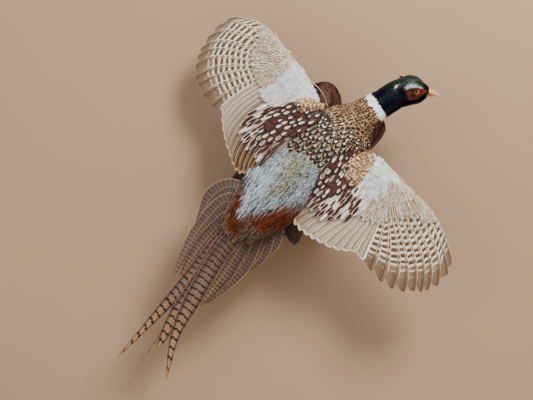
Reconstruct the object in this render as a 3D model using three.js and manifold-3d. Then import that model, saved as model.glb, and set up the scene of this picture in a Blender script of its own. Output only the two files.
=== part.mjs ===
// A cock pheasant mounted in flight on a piece of driftwood that hangs on a wall, at life size.
// Millimetres. +X is to the right along the wall, +Z is up and +Y points into the wall.
// The origin is on the wall, at the middle of the driftwood's flat back, so the bird is at negative Y.
import * as THREE from "three";
import { mergeVertices } from "three/addons/utils/BufferGeometryUtils.js";
import Module from "manifold-3d";

const wasm = await Module();
wasm.setup();

// ---------------------------------------------------------------- driving dimensions
const GAP = 0.3; // clearance between neighbouring pieces
const BODY_ROLL = 14; // degrees that the back turns towards the bird's left
const HEAD_TILT = 38; // degrees that the crown leans towards the room
const FEATHER_EDGE = 0.7; // thickness of a flight feather at its edge

// Trunk, from the tail base to the breast: centre, half width across the back, half depth.
const TRUNK = [
  { at: [-124, -144, -166], across: 16, deep: 5 },
  { at: [-111, -143, -151], across: 39, deep: 14 },
  { at: [-84, -138, -123], across: 54, deep: 31 },
  { at: [-49, -130, -88], across: 62, deep: 46 },
  { at: [0, -122, -39], across: 67, deep: 56 },
  { at: [49, -116, 6], across: 67, deep: 60 },
  { at: [88, -112, 32], across: 61, deep: 57 },
  { at: [117, -108, 36], across: 58, deep: 49 },
  { at: [143, -104, 25], across: 45, deep: 36 },
  { at: [155, -102, 14], across: 20, deep: 14 },
];

// Neck and head, from inside the shoulders to the base of the bill. deep is towards the crown.
const NECK = [
  { at: [78, -128, 33], across: 48, deep: 38 },
  { at: [109, -138, 57], across: 40, deep: 34 },
  { at: [129, -145, 71], across: 33, deep: 30 },
  { at: [144, -148, 81.5], across: 30.5, deep: 28 },
  { at: [157, -149, 91], across: 28, deep: 26.5 },
  { at: [176, -150, 101], across: 24, deep: 25 },
  { at: [194, -150, 112], across: 21, deep: 28 },
  { at: [214, -150, 118], across: 20, deep: 30 },
  { at: [231, -150, 115], across: 15.5, deep: 23.5 },
  { at: [243, -150, 113.5], across: 10.5, deep: 14.5 },
  { at: [250, -150, 112], across: 7, deep: 9 },
];
const COLLAR_STATION = 3; // the trunk ends here and the neck begins
const HEAD_STATION = 6; // the neck ends here and the head begins

const EYE = { station: 7.85, angle: 17, radius: 6, proud: 1.5 };
const EAR_TUFT = { station: 6.32, angle: 33, long: 12, radius: 3 };
// Outline of the bare red face, as steps forward and up from the eye.
const WATTLE = [
  [-22, 2], [-12, 3], [0, 6], [13, 4.5], [23, 2], [19, -4], [13, -8], [4, -14], [-8, -20], [-15, -17], [-18, -9],
];
const WATTLE_THICK = 1.6;
const BILL = { long: 22, droop: 5, wide: 6, high: 5.2 };

// Each wing: leading edge from shoulder to the end of the hand, then the line of feather tips
// from the innermost secondary to the outermost primary.
const RIGHT_WING = {
  side: "right",
  lead: [[112, -140, -9], [152, -155, -22], [176, -165, -43], [205, -168, -70], [234, -167, -100]],
  secondaryTips: [[-22, -147, -120], [0, -137, -161], [45, -131, -189], [111, -130, -208]],
  primaryTips: [[111, -130, -208], [161, -134, -263], [226, -139, -281], [275, -146, -266], [296, -150, -219]],
  bow: [6, 4, 14],
  arch: 9,
  notch: 0.055,
};
const LEFT_WING = {
  side: "left",
  lead: [[46, -142, 64], [21, -150, 119], [-2, -148, 158], [-22, -142, 187], [-43, -134, 214]],
  secondaryTips: [[-102, -127, -57], [-135, -106, -22], [-157, -90, 40], [-163, -81, 84]],
  primaryTips: [[-163, -81, 84], [-199, -72, 120], [-207, -69, 176], [-188, -75, 236], [-141, -86, 267]],
  bow: [8, 7, 19],
  arch: 8,
  notch: 0.055,
};
const SECONDARIES = 13;
const PRIMARIES = 10;
const WRIST = 0.5; // share of the leading edge that lies between shoulder and wrist
const COVERED = 0.44; // share of each flight feather that its coverts hide
const ARM_THICK = { shoulder: 26, wrist: 15, hand: 6, rear: 2.2 };

// Tail feathers from the outermost left to the outermost right. line runs along the shaft, half is the
// half width, taper is small for a blunt end, and layer counts how many feathers lie on top.
const TAIL = [
  { line: [[-104, -80], [-141, -72], [-173, -90], [-189, -121], [-208, -163]], half: 17, layer: 10, taper: 0.6 },
  { line: [[-110, -98], [-149, -103], [-185, -139], [-216, -182], [-252, -252]], half: 16, layer: 8, taper: 0.6 },
  { line: [[-113, -113], [-155, -145], [-188, -180], [-214, -214], [-236, -250]], half: 16, layer: 6, taper: 0.6 },
  { line: [[-115, -129], [-161, -180], [-220, -255], [-292, -335], [-365, -414]], half: 15, layer: 3, taper: 0.9 },
  { line: [[-111, -141], [-153, -188], [-202, -265], [-252, -335], [-280, -391]], half: 18, layer: 1, taper: 0.5 },
  { line: [[-117, -147], [-167, -212], [-220, -291], [-277, -365], [-317, -424]], half: 3, layer: 4, taper: 0.6 },
  { line: [[-103, -144], [-153, -198], [-208, -289], [-246, -366], [-265, -457]], half: 18, layer: 0, taper: 0.9 },
  { line: [[-94, -152], [-125, -204], [-149, -243], [-173, -275], [-197, -307]], half: 18, layer: 2, taper: 0.6 },
  { line: [[-82, -156], [-96, -192], [-114, -227], [-141, -261], [-183, -301]], half: 17, layer: 5, taper: 0.6 },
  { line: [[-66, -149], [-66, -176], [-72, -196], [-86, -220], [-106, -238]], half: 15, layer: 7, taper: 0.6 },
  { line: [[-51, -141], [-47, -165], [-52, -182], [-62, -198], [-78, -216]], half: 14, layer: 9, taper: 0.6 },
];
const TAIL_ROOT = [-109, -140]; // where the shafts gather, along the wall
const TAIL_TOP = -143; // depth of the uppermost feather there
const TAIL_DROP = 0.11; // how much nearer the wall each millimetre of tail lies
const TAIL_LAYER = 1.9; // distance between stacked feathers
const SHAFT_THICK = 1.5;
const BLADE_STATIONS = 8;

// Legs, folded back below the tail: points down the right leg and down the left leg.
const LEGS = {
  right: { thigh: [[20, -98, -84], [4, -86, -122], [-10, -76, -154], [-9, -70, -183]], radii: [26, 27, 24, 8],
    hock: [-16, -55, -160], ankle: [-63, -44, -190], toes: [-104, -40, -218] },
  left: { thigh: [[-44, -96, -42], [-82, -84, -40], [-110, -76, -47], [-135, -70, -56]], radii: [26, 23, 17, 3],
    hock: [-118, -57, -64], ankle: [-146, -46, -112], toes: [-166, -42, -158] },
};
const TOE_SPREAD = 15;

// Driftwood, from its rounded upper end down behind the bird: centre along the wall, half width, height.
const DRIFTWOOD = [
  { at: [57, 146], half: 4, high: 24 },
  { at: [56, 139], half: 24, high: 42 },
  { at: [52, 122], half: 37, high: 52 },
  { at: [45, 99], half: 43, high: 58 },
  { at: [34, 66], half: 40, high: 68 },
  { at: [20, 33], half: 36, high: 76 },
  { at: [2, 2], half: 36, high: 80 },
  { at: [-16, -28], half: 33, high: 76 },
  { at: [-36, -58], half: 25, high: 58 },
  { at: [-46, -76], half: 8, high: 30 },
];
const HANGER = { wide: 46, tall: 18, thick: 1.6, at: [36, 70] };

// ---------------------------------------------------------------- solids from rings and sheets
const vec = (p) => new THREE.Vector3(...p);
const alongWall = ([x, z], y) => new THREE.Vector3(x, y, z);
const mix = (a, b, t) => a + (b - a) * t;
const smoothstep = (a, b, t) => THREE.MathUtils.smoothstep(t, a, b);
const spline = (points) => new THREE.CatmullRomCurve3(points, false, "centripetal");
const evenly = (from, to, count) => Array.from({ length: count + 1 }, (_, i) => mix(from, to, i / count));

function geometryOf(points, faces) {
  const flat = new Float32Array(points.flatMap((p) => [p.x, p.y, p.z]));
  return new THREE.BufferGeometry()
    .setAttribute("position", new THREE.BufferAttribute(flat, 3))
    .setIndex(faces.flat());
}

function solidOf(geometry) {
  const bare = geometry.clone().deleteAttribute("normal").deleteAttribute("uv");
  const merged = mergeVertices(bare, 1e-4);
  return new wasm.Manifold(
    new wasm.Mesh({
      numProp: 3,
      vertProperties: merged.attributes.position.array,
      triVerts: new Uint32Array(merged.index.array),
    }),
  );
}

const largest = (solid) => solid.decompose().reduce((a, b) => (a.volume() > b.volume() ? a : b));

function geometryFrom(solid) {
  const mesh = solid.getMesh();
  return new THREE.BufferGeometry()
    .setAttribute("position", new THREE.BufferAttribute(new Float32Array(mesh.vertProperties), 3))
    .setIndex(new THREE.BufferAttribute(new Uint32Array(mesh.triVerts), 1));
}

// A closed body through rings of equal point counts, with a flat fan over each end.
function ringBody(rings) {
  const count = rings[0].length;
  const points = rings.flat();
  const faces = [];
  for (let r = 0; r + 1 < rings.length; r++) {
    for (let i = 0; i < count; i++) {
      const [a, b] = [r * count + i, r * count + ((i + 1) % count)];
      faces.push([a, b, b + count], [a, b + count, a + count]);
    }
  }
  for (const [first, turn] of [[0, false], [(rings.length - 1) * count, true]]) {
    const ring = points.slice(first, first + count);
    const middle = ring.reduce((sum, p) => sum.add(p), new THREE.Vector3()).divideScalar(count);
    points.push(middle);
    for (let i = 0; i < count; i++) {
      const [a, b] = [first + i, first + ((i + 1) % count)];
      faces.push(turn ? [a, b, points.length - 1] : [b, a, points.length - 1]);
    }
  }
  const solid = solidOf(geometryOf(points, faces));
  return solid.volume() > 0 ? solid : solidOf(geometryOf(points, faces.map(([a, b, c]) => [a, c, b])));
}

// A closed sheet: surface(u, v) is its middle, thick(u, v) its thickness.
function sheetBody(surface, thick, columns, rows) {
  const step = 1e-3;
  const upper = [];
  const lower = [];
  for (const v of rows) {
    for (const u of columns) {
      const p = surface(u, v);
      const du = surface(Math.min(u + step, 1), v).sub(surface(Math.max(u - step, 0), v));
      const dv = surface(u, Math.min(v + step, 1)).sub(surface(u, Math.max(v - step, 0)));
      const normal = du.cross(dv).normalize();
      if (normal.y > 0) normal.negate();
      upper.push(p.clone().addScaledVector(normal, thick(u, v) / 2));
      lower.push(p.clone().addScaledVector(normal, -thick(u, v) / 2));
    }
  }
  const wide = columns.length;
  const rings = [];
  for (let r = 0; r < rows.length; r++) {
    const over = upper.slice(r * wide, (r + 1) * wide);
    const under = lower.slice(r * wide, (r + 1) * wide).reverse();
    rings.push([...over, ...under]);
  }
  return stripBody(rings);
}

// Like ringBody, but each end is closed across the sheet's thickness, which keeps thin ends clean.
function stripBody(rings) {
  const count = rings[0].length;
  const half = count / 2;
  const points = rings.flat();
  const faces = [];
  for (let r = 0; r + 1 < rings.length; r++) {
    for (let i = 0; i < count; i++) {
      const [a, b] = [r * count + i, r * count + ((i + 1) % count)];
      faces.push([a, b, b + count], [a, b + count, a + count]);
    }
  }
  for (const [first, turn] of [[0, false], [(rings.length - 1) * count, true]]) {
    for (let i = 0; i + 1 < half; i++) {
      const quad = [first + i, first + i + 1, first + count - 2 - i, first + count - 1 - i];
      const [a, b, c, d] = turn ? quad : [...quad].reverse();
      faces.push([a, b, c], [a, c, d]);
    }
  }
  const solid = solidOf(geometryOf(points, faces));
  return solid.volume() > 0 ? solid : solidOf(geometryOf(points, faces.map(([a, b, c]) => [a, c, b])));
}

// ---------------------------------------------------------------- trunk, neck and head
const alongBack = new THREE.Vector3(0.72, 0, 0.69).normalize();
const toLeft = new THREE.Vector3(-alongBack.z, 0, alongBack.x);
const roll = THREE.MathUtils.degToRad(BODY_ROLL);
const back = new THREE.Vector3(0, -Math.cos(roll), 0).addScaledVector(toLeft, Math.sin(roll));
const tilt = THREE.MathUtils.degToRad(HEAD_TILT);
const crown = new THREE.Vector3(0.16, 0, 0.98).multiplyScalar(Math.cos(tilt)).add(new THREE.Vector3(0, -Math.sin(tilt), 0));

// The cross section of an oval body at a station: its middle, its two half axes and the way it faces.
function section(stations, dorsalAt, station) {
  const t = station / (stations.length - 1);
  const centre = spline(stations.map((s) => vec(s.at)));
  const radii = spline(stations.map((s) => new THREE.Vector3(s.across, s.deep, 0))).getPoint(t);
  const tangent = centre.getTangent(t);
  const side = tangent.clone().cross(dorsalAt(station)).normalize();
  const dorsal = side.clone().cross(tangent).normalize();
  const rim = (angle, grow = 0) => centre.getPoint(t)
    .addScaledVector(side, Math.cos(angle) * (radii.x + grow))
    .addScaledVector(dorsal, Math.sin(angle) * (radii.y + grow));
  return { rim, side, dorsal, tangent };
}

// An oval body along stations, from station `from` to station `to`. grow thickens it all round.
function oval(stations, dorsalAt, { sides, perStation, from = 0, to = stations.length - 1, grow = 0 }) {
  const steps = Math.round((to - from) * perStation);
  return ringBody(evenly(from, to, steps).map((station) => {
    const { rim } = section(stations, dorsalAt, station);
    return evenly(0, Math.PI * 2, sides).slice(0, -1).map((angle) => rim(angle, grow));
  }));
}

const trunkBack = () => back;
const neckBack = (station) =>
  back.clone().lerp(crown, smoothstep(COLLAR_STATION - 1, HEAD_STATION, station)).normalize();

function trunkSolid(grow) {
  const egg = oval(TRUNK, trunkBack, { sides: 20, perStation: 2, grow });
  const shoulders = oval(NECK, neckBack, { sides: 18, perStation: 2, to: COLLAR_STATION, grow });
  return egg.add(shoulders);
}

const headSolid = (grow) => oval(NECK, neckBack, { sides: 16, perStation: 2, from: HEAD_STATION + 0.02, grow });

// The head is the same on both sides of its middle plane, which holds the crown and the bill.
const headAxis = vec(NECK[9].at).sub(vec(NECK[7].at)).normalize();
const headSide = headAxis.clone().cross(crown).normalize();
const headUp = headSide.clone().cross(headAxis).normalize();
const headMiddle = vec(NECK[8].at);
const otherSide = (p) => p.clone().addScaledVector(headSide, -2 * p.clone().sub(headMiddle).dot(headSide));

function ball(centre, radius, around = 10, down = 6) {
  const sphere = new THREE.SphereGeometry(radius, around, down);
  return solidOf(sphere.translate(centre.x, centre.y, centre.z));
}

function facePoint(station, degrees, grow) {
  const angle = THREE.MathUtils.degToRad(degrees);
  return section(NECK, neckBack, station).rim(angle, grow);
}
const rightEye = facePoint(EYE.station, EYE.angle, EYE.proud - EYE.radius);
const leftEye = otherSide(rightEye);

// Half a bill: a tapering horn from the end of the face. lift sets the upper half over the lower.
const billRoot = vec(NECK[10].at).addScaledVector(headAxis, GAP * 2);
function billHalf({ long, wide, high, lift, droop, grow = 0 }) {
  return ringBody(evenly(0, 1, 5).map((t) => {
    const taper = 1 - 0.88 * Math.pow(t, 2.3);
    const middle = billRoot.clone()
      .addScaledVector(headAxis, (long + grow) * t)
      .addScaledVector(headUp, lift * (1 - t) - droop * t * t);
    return evenly(0, Math.PI * 2, 10).slice(0, -1).map((angle) =>
      middle.clone()
        .addScaledVector(headSide, Math.cos(angle) * (wide * taper + grow))
        .addScaledVector(headUp, Math.sin(angle) * (high * taper + grow)));
  }));
}

// Bare red skin of the face: a patch of a thin shell over the head, open round the eye.
function wattleRight() {
  const outline = new THREE.Shape(WATTLE.map(([x, z]) => new THREE.Vector2(x, z)));
  const prism = new THREE.ExtrudeGeometry(outline, { depth: 40, bevelEnabled: false });
  prism.rotateX(Math.PI / 2).translate(rightEye.x, rightEye.y + 8, rightEye.z);
  return solidOf(prism);
}

function mirrored(solid) {
  const geometry = geometryFrom(solid);
  const points = geometry.attributes.position;
  for (let i = 0; i < points.count; i++) {
    const p = otherSide(new THREE.Vector3().fromBufferAttribute(points, i));
    points.setXYZ(i, p.x, p.y, p.z);
  }
  const faces = geometry.index.array;
  for (let i = 0; i < faces.length; i += 3) [faces[i], faces[i + 1]] = [faces[i + 1], faces[i]];
  return solidOf(geometry);
}

function wattle(prism, eye) {
  const shell = headSolid(WATTLE_THICK).intersect(prism);
  return largest(shell.subtract(headSolid(GAP)).subtract(ball(eye, EYE.radius + GAP)));
}

// Small black feather horns that point back over the ears.
function earTuft(side) {
  const near = facePoint(EAR_TUFT.station, EAR_TUFT.angle, -1);
  const root = side > 0 ? near : otherSide(near);
  const way = headAxis.clone().negate().addScaledVector(headUp, 0.22).addScaledVector(headSide, 0.3 * side).normalize();
  const horn = new THREE.ConeGeometry(EAR_TUFT.radius, EAR_TUFT.long, 8);
  horn.translate(0, EAR_TUFT.long / 2, 0);
  horn.applyQuaternion(new THREE.Quaternion().setFromUnitVectors(new THREE.Vector3(0, 1, 0), way));
  return largest(solidOf(horn.translate(root.x, root.y, root.z)).subtract(headSolid(GAP)));
}

// ---------------------------------------------------------------- wings
// The middle surface of a spread wing. u runs from the innermost feather to the outermost primary and
// v from the leading edge to the feather tips.
function wingSurface(wing) {
  const lead = spline(wing.lead.map(vec));
  const inner = spline(wing.secondaryTips.map(vec));
  const outer = spline(wing.primaryTips.map(vec));
  return (u, v) => {
    const root = lead.getPoint(u);
    const tip = u < WRIST ? inner.getPoint(u / WRIST) : outer.getPoint((u - WRIST) / (1 - WRIST));
    const across = tip.clone().sub(root);
    const outward = new THREE.Vector3(-across.z, 0, across.x).normalize();
    if (outward.dot(lead.getTangent(u)) < 0) outward.negate();
    const bow = u < WRIST ? mix(wing.bow[0], wing.bow[1], u / WRIST) : mix(wing.bow[1], wing.bow[2], (u - WRIST) / (1 - WRIST));
    const hump = 4 * v * (1 - v);
    return root.addScaledVector(across, v)
      .addScaledVector(outward, bow * hump)
      .add(new THREE.Vector3(0, -wing.arch * hump, 0));
  };
}

const armThick = (u, v) => {
  const along = u < WRIST
    ? mix(ARM_THICK.shoulder, ARM_THICK.wrist, u / WRIST)
    : mix(ARM_THICK.wrist, ARM_THICK.hand, (u - WRIST) / (1 - WRIST));
  const nose = Math.sqrt(Math.min(1, v / 0.12 + 0.06));
  return mix(along * nose, ARM_THICK.rear, smoothstep(0.05, COVERED, v));
};

// Each feather ends in a rounded finger: v is cut back between one tip and the next.
function fingered(surface, wing, from, to, count) {
  return (u, v) => {
    const place = ((u - from) / (to - from)) * count;
    const inFeather = place - Math.floor(Math.min(place, count - 1e-6));
    const cut = wing.notch * Math.pow(Math.abs(inFeather - 0.5) * 2, 2.2);
    return surface(u, v * (1 - cut * smoothstep(0.6, 1, v)));
  };
}

const featherThick = (u, v) => mix(ARM_THICK.rear, FEATHER_EDGE, smoothstep(COVERED, 0.95, v));

function wingParts(wing) {
  const surface = wingSurface(wing);
  const join = COVERED + 0.003; // the flight feathers start just behind the coverts
  const split = 0.0012; // half the gap between the secondaries and the primaries
  const arm = sheetBody(surface, armThick, evenly(0, 1, 14), [0, 0.04, 0.12, 0.24, COVERED]);
  const secondaries = sheetBody(
    fingered(surface, wing, 0, WRIST - split, SECONDARIES),
    featherThick, evenly(0, WRIST - split, SECONDARIES * 3), [join, 0.8, 1],
  );
  const primaries = sheetBody(
    fingered(surface, wing, WRIST + split, 1, PRIMARIES),
    featherThick, evenly(WRIST + split, 1, PRIMARIES * 4), [join, 0.7, 0.9, 1],
  );
  // The bastard wing: a short stiff feather lying along the front of the wrist.
  const above = (u, v, lift) => surface(u, v).add(new THREE.Vector3(0, -armThick(u, v) / 2 - lift, 0));
  const alula = blade({ line: [above(0.56, 0.03, 1.6), above(0.72, 0.06, 2), above(0.9, 0.1, 1.6)], half: 5 });
  return { arm, secondaries, primaries, alula };
}

// A single stiff feather: a long leaf with a raised shaft.
function blade({ line, half, taper = 0.6, depthAt = null }) {
  const shaft = spline(line);
  const room = new THREE.Vector3(0, -1, 0);
  return stripBody(evenly(0, 1, BLADE_STATIONS).map((t) => {
    const side = shaft.getTangent(t).cross(room).normalize();
    const width = half * Math.min(1, 0.75 + 1.5 * t) * Math.pow(Math.min(1, (1 - t) / 0.5 + 0.01), taper);
    const ridge = mix(SHAFT_THICK, 0.9, t) / 2;
    const edge = FEATHER_EDGE / 2;
    const at = (share, lift) => {
      const p = shaft.getPoint(t).addScaledVector(side, width * share);
      if (depthAt) p.y = depthAt(p.x, p.z);
      return p.addScaledVector(room, lift);
    };
    return [at(-1, edge), at(0, ridge), at(1, edge), at(1, -edge), at(0, -ridge), at(-1, -edge)];
  }));
}

// ---------------------------------------------------------------- tail
function tailFeather({ line, half, layer, taper }) {
  const depth = (x, z) =>
    TAIL_TOP + layer * TAIL_LAYER + TAIL_DROP * Math.hypot(x - TAIL_ROOT[0], z - TAIL_ROOT[1]);
  return blade({ line: line.map(([x, z]) => new THREE.Vector3(x, depth(x, z), z)), half, taper, depthAt: depth });
}

// ---------------------------------------------------------------- legs
function limb(points, radii, sides, perPoint = 2) {
  const line = spline(points);
  const widths = spline(radii.map((r) => new THREE.Vector3(r, 0, 0)));
  return ringBody(evenly(0, 1, (points.length - 1) * perPoint).map((t) => {
    const tangent = line.getTangent(t);
    const side = tangent.clone().cross(new THREE.Vector3(0, 1, 0)).normalize();
    const up = side.clone().cross(tangent).normalize();
    return evenly(0, Math.PI * 2, sides).slice(0, -1).map((angle) =>
      line.getPoint(t)
        .addScaledVector(side, Math.cos(angle) * widths.getPoint(t).x)
        .addScaledVector(up, Math.sin(angle) * widths.getPoint(t).x));
  }));
}

function leg({ thigh, radii, hock, ankle, toes }) {
  const [heel, joint, reach] = [vec(hock), vec(ankle), vec(toes)];
  const drumstick = limb(thigh.map(vec), radii, 10);
  const knee = vec(thigh[2]);
  const shin = limb([knee, heel, heel.clone().lerp(joint, 0.5), joint], [7, 4.6, 3.4, 3.8], 8, 1);
  const spurRoot = heel.clone().lerp(joint, 0.62);
  const towardsWall = new THREE.Vector3(0, 1, 0);
  const spurTip = spurRoot.clone().lerp(joint, 0.35).addScaledVector(towardsWall, 12);
  const spur = limb([spurRoot, spurRoot.clone().lerp(spurTip, 0.5), spurTip], [2.8, 2, 0.6], 6, 1);
  const away = joint.clone().sub(heel).normalize();
  const sideways = away.clone().cross(towardsWall).normalize();
  const start = joint.clone().addScaledVector(away, 5.5);
  const toe = (spread, share, curl) => {
    const end = start.clone().lerp(reach, share).addScaledVector(sideways, spread).addScaledVector(towardsWall, curl);
    const middle = start.clone().lerp(end, 0.5).addScaledVector(towardsWall, -curl * 0.35);
    return limb([start, middle, end], [3.2, 2.6, 0.9], 6, 1);
  };
  const front = [toe(0, 1, 8), toe(TOE_SPREAD, 0.85, 7), toe(-TOE_SPREAD, 0.8, 7), toe(-4, 0.35, 16)];
  const foot = front.reduce((a, b) => a.add(b), ball(start, 3.8, 8, 6));
  return { drumstick, shin: shin.add(spur), foot };
}

// ---------------------------------------------------------------- driftwood and hanger
function driftwoodSolid() {
  const centre = spline(DRIFTWOOD.map((s) => alongWall(s.at, 0)));
  const sizes = spline(DRIFTWOOD.map((s) => new THREE.Vector3(s.half, s.high, 0)));
  const sides = 18;
  const rings = evenly(0, 1, 14).map((t) => {
    const middle = centre.getPoint(t);
    const { x: half, y: high } = sizes.getPoint(t);
    const side = centre.getTangent(t).cross(new THREE.Vector3(0, 1, 0)).normalize();
    return evenly(0, 1, sides).slice(0, -1).map((k) => {
      const angle = k * Math.PI * 2;
      const knot = 1 + 0.05 * Math.sin(3 * angle + 9 * t) + 0.04 * Math.sin(5 * angle - 14 * t);
      const rise = Math.max(0, Math.sin(angle) * 0.62 + 0.38);
      return middle.clone()
        .addScaledVector(side, Math.cos(angle) * half * knot)
        .add(new THREE.Vector3(0, -high * rise * knot, 0));
    });
  });
  return ringBody(rings);
}

function boxSolid(wide, deep, tall, [x, y, z]) {
  return solidOf(new THREE.BoxGeometry(wide, deep, tall).translate(x, y, z));
}

function hangerPlate() {
  const { wide, tall, thick, at } = HANGER;
  const plate = boxSolid(wide, thick, tall, [at[0], -thick / 2 - 0.4, at[1]]);
  const slot = solidOf(new THREE.CylinderGeometry(3, 3, 10, 16).translate(at[0], 0, at[1]));
  return plate.subtract(slot);
}

// ---------------------------------------------------------------- assembly
const finish = (color, roughness, metalness = 0) => new THREE.MeshStandardMaterial({ color, roughness, metalness });
const FINISH = {
  mantle: finish(0xa8845a, 0.8),
  hood: finish(0x16242c, 0.35),
  bill: finish(0xd9c08a, 0.45),
  eye: finish(0xc8974a, 0.1),
  wattle: finish(0xa3221c, 0.65),
  wing: finish(0xcfc4b4, 0.8),
  tail: finish(0xa58d74, 0.75),
  leg: finish(0x8c8478, 0.6),
  thigh: finish(0x4a3324, 0.85),
  wood: finish(0x7a4a30, 0.5),
  steel: finish(0x9a9a9a, 0.4, 0.9),
};

const pheasant = new THREE.Group();
function add(name, solid, material) {
  const mesh = new THREE.Mesh(geometryFrom(solid), material);
  mesh.name = name;
  pheasant.add(mesh);
}

const trunkRoom = trunkSolid(GAP);
add("trunk", trunkSolid(0), FINISH.mantle);

const neck = oval(NECK, neckBack, { sides: 18, perStation: 2, from: COLLAR_STATION + 0.03, to: HEAD_STATION });
add("neck", neck.subtract(trunkRoom), FINISH.hood);

const sockets = ball(rightEye, EYE.radius + GAP).add(ball(leftEye, EYE.radius + GAP));
add("head", headSolid(0).subtract(sockets), FINISH.hood);
add("eye_right", ball(rightEye, EYE.radius), FINISH.eye);
add("eye_left", ball(leftEye, EYE.radius), FINISH.eye);
add("wattle_right", wattle(wattleRight(), rightEye), FINISH.wattle);
add("wattle_left", wattle(mirrored(wattleRight()), leftEye), FINISH.wattle);
add("ear_tuft_right", earTuft(1), FINISH.hood);
add("ear_tuft_left", earTuft(-1), FINISH.hood);

const upperBill = { ...BILL, lift: 2.4 };
const lowerBill = { ...BILL, long: BILL.long - 4, high: 3.4, wide: BILL.wide - 0.5, lift: -3.6, droop: BILL.droop - 1 };
add("bill_upper", billHalf(upperBill), FINISH.bill);
add("bill_lower", largest(billHalf(lowerBill).subtract(billHalf({ ...upperBill, grow: GAP }))), FINISH.bill);

for (const wing of [RIGHT_WING, LEFT_WING]) {
  const parts = wingParts(wing);
  add("wing_" + wing.side + "_arm", largest(parts.arm.subtract(trunkRoom)), FINISH.wing);
  add("wing_" + wing.side + "_secondaries", largest(parts.secondaries.subtract(trunkRoom)), FINISH.wing);
  add("wing_" + wing.side + "_primaries", parts.primaries, FINISH.wing);
  add("wing_" + wing.side + "_alula", parts.alula, FINISH.wing);
}

TAIL.forEach((feather, i) => {
  const name = "tail_feather_" + String(i + 1).padStart(2, "0");
  add(name, largest(tailFeather(feather).subtract(trunkRoom)), FINISH.tail);
});

for (const side of ["right", "left"]) {
  const { drumstick, shin, foot } = leg(LEGS[side]);
  add("thigh_" + side, largest(drumstick.subtract(trunkRoom)), FINISH.thigh);
  add("shank_" + side, largest(shin.subtract(drumstick)), FINISH.leg);
  add("foot_" + side, foot, FINISH.leg);
}

const { wide, tall, thick, at } = HANGER;
const pocket = boxSolid(wide + 2 * GAP, 2 * (thick + 1), tall + 2 * GAP, [at[0], 0, at[1]]);
add("driftwood", driftwoodSolid().subtract(trunkRoom).subtract(pocket), FINISH.wood);
add("hanger_plate", hangerPlate(), FINISH.steel);

export default pheasant;
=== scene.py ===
# %% [markdown]
# # A cock pheasant mounted in flight
# The mount hangs on a wall: a pheasant seen from its back, wings spread, over a piece of driftwood.
# The imported solids give every place and size. This lesson dresses them: one skin for the body, real
# vanes for the feathers, a finer head and legs, varnished wood, and the light and camera. The first
# cell loads the solids, which are never moved.

# %% Load the solids
import math

import bmesh
import bpy
import numpy as np
from mathutils import Matrix, Vector, noise as pattern_noise
from mathutils.bvhtree import BVHTree


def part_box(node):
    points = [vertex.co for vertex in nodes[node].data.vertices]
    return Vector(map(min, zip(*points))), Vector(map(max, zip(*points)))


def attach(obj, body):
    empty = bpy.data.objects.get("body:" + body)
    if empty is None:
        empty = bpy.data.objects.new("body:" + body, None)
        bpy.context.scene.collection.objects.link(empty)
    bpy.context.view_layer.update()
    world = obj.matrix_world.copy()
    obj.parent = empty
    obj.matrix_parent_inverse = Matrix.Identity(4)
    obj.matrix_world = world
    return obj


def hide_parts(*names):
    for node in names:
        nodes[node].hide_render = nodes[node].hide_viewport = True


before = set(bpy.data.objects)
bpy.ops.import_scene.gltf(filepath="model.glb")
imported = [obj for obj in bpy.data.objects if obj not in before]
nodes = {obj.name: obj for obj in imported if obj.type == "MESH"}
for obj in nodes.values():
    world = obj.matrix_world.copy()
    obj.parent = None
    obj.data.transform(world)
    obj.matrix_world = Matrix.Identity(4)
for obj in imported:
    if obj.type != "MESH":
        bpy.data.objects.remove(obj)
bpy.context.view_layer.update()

MM = 0.001

# %% [markdown]
# ## Camera, light and stage
# The camera looks straight along +Y at the wall, as a visitor stands in front of the mount. A warm
# tan wall stands just behind the wood. It is see-through from behind, so that the mount's back can
# be looked at too. A broad soft lamp hangs high on the right and a weak one fills the left.

# %% Camera
CAMERA_AT = (-0.0653, -2.75, -0.0975)
LENS, SENSOR = 90.06, 36.0
camera = bpy.data.objects.new("camera", bpy.data.cameras.new("camera"))
bpy.context.scene.collection.objects.link(camera)
camera.location = CAMERA_AT
camera.rotation_euler = (math.pi / 2, 0, 0)
camera.data.lens, camera.data.sensor_width = LENS, SENSOR
bpy.context.scene.camera = camera
print("camera at", CAMERA_AT)

# %% [markdown]
# ## A short way to write materials
# A material is a small network of nodes. Here a `Wire` stands for one output of a node, and plain
# arithmetic on wires adds the Math nodes, so a pattern reads like a formula. `Paint` holds one
# material, and its `node` method makes any other node from its type, settings and inputs.

# %% Wires and paints
class Wire:
    """One output of a node. Arithmetic on it adds Math nodes."""

    def __init__(self, paint, socket):
        self.paint, self.socket = paint, socket

    def __add__(self, other):
        return self.paint.math("ADD", self, other)

    def __radd__(self, other):
        return self.paint.math("ADD", other, self)

    def __sub__(self, other):
        return self.paint.math("SUBTRACT", self, other)

    def __rsub__(self, other):
        return self.paint.math("SUBTRACT", other, self)

    def __mul__(self, other):
        return self.paint.math("MULTIPLY", self, other)

    def __rmul__(self, other):
        return self.paint.math("MULTIPLY", other, self)

    def __truediv__(self, other):
        return self.paint.math("DIVIDE", self, other)

    def __pow__(self, other):
        return self.paint.math("POWER", self, other)

    def __abs__(self):
        return self.paint.math("ABSOLUTE", self)

    def larger(self, other):
        return self.paint.math("MAXIMUM", self, other)

    def covered(self, mask, *colour):
        """This colour, covered by another where the mask is 1."""
        return self.paint.mix(mask, self, rgb(*colour))

    def step(self, low, high):
        """0 below low, 1 above high, smooth between. Turned round when low is over high."""
        if low > high:
            return 1 - self.step(high, low)
        return self.paint.node("ShaderNodeMapRange", {"interpolation_type": "SMOOTHSTEP"},
                               {"Value": self, "From Min": low, "From Max": high})

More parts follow.
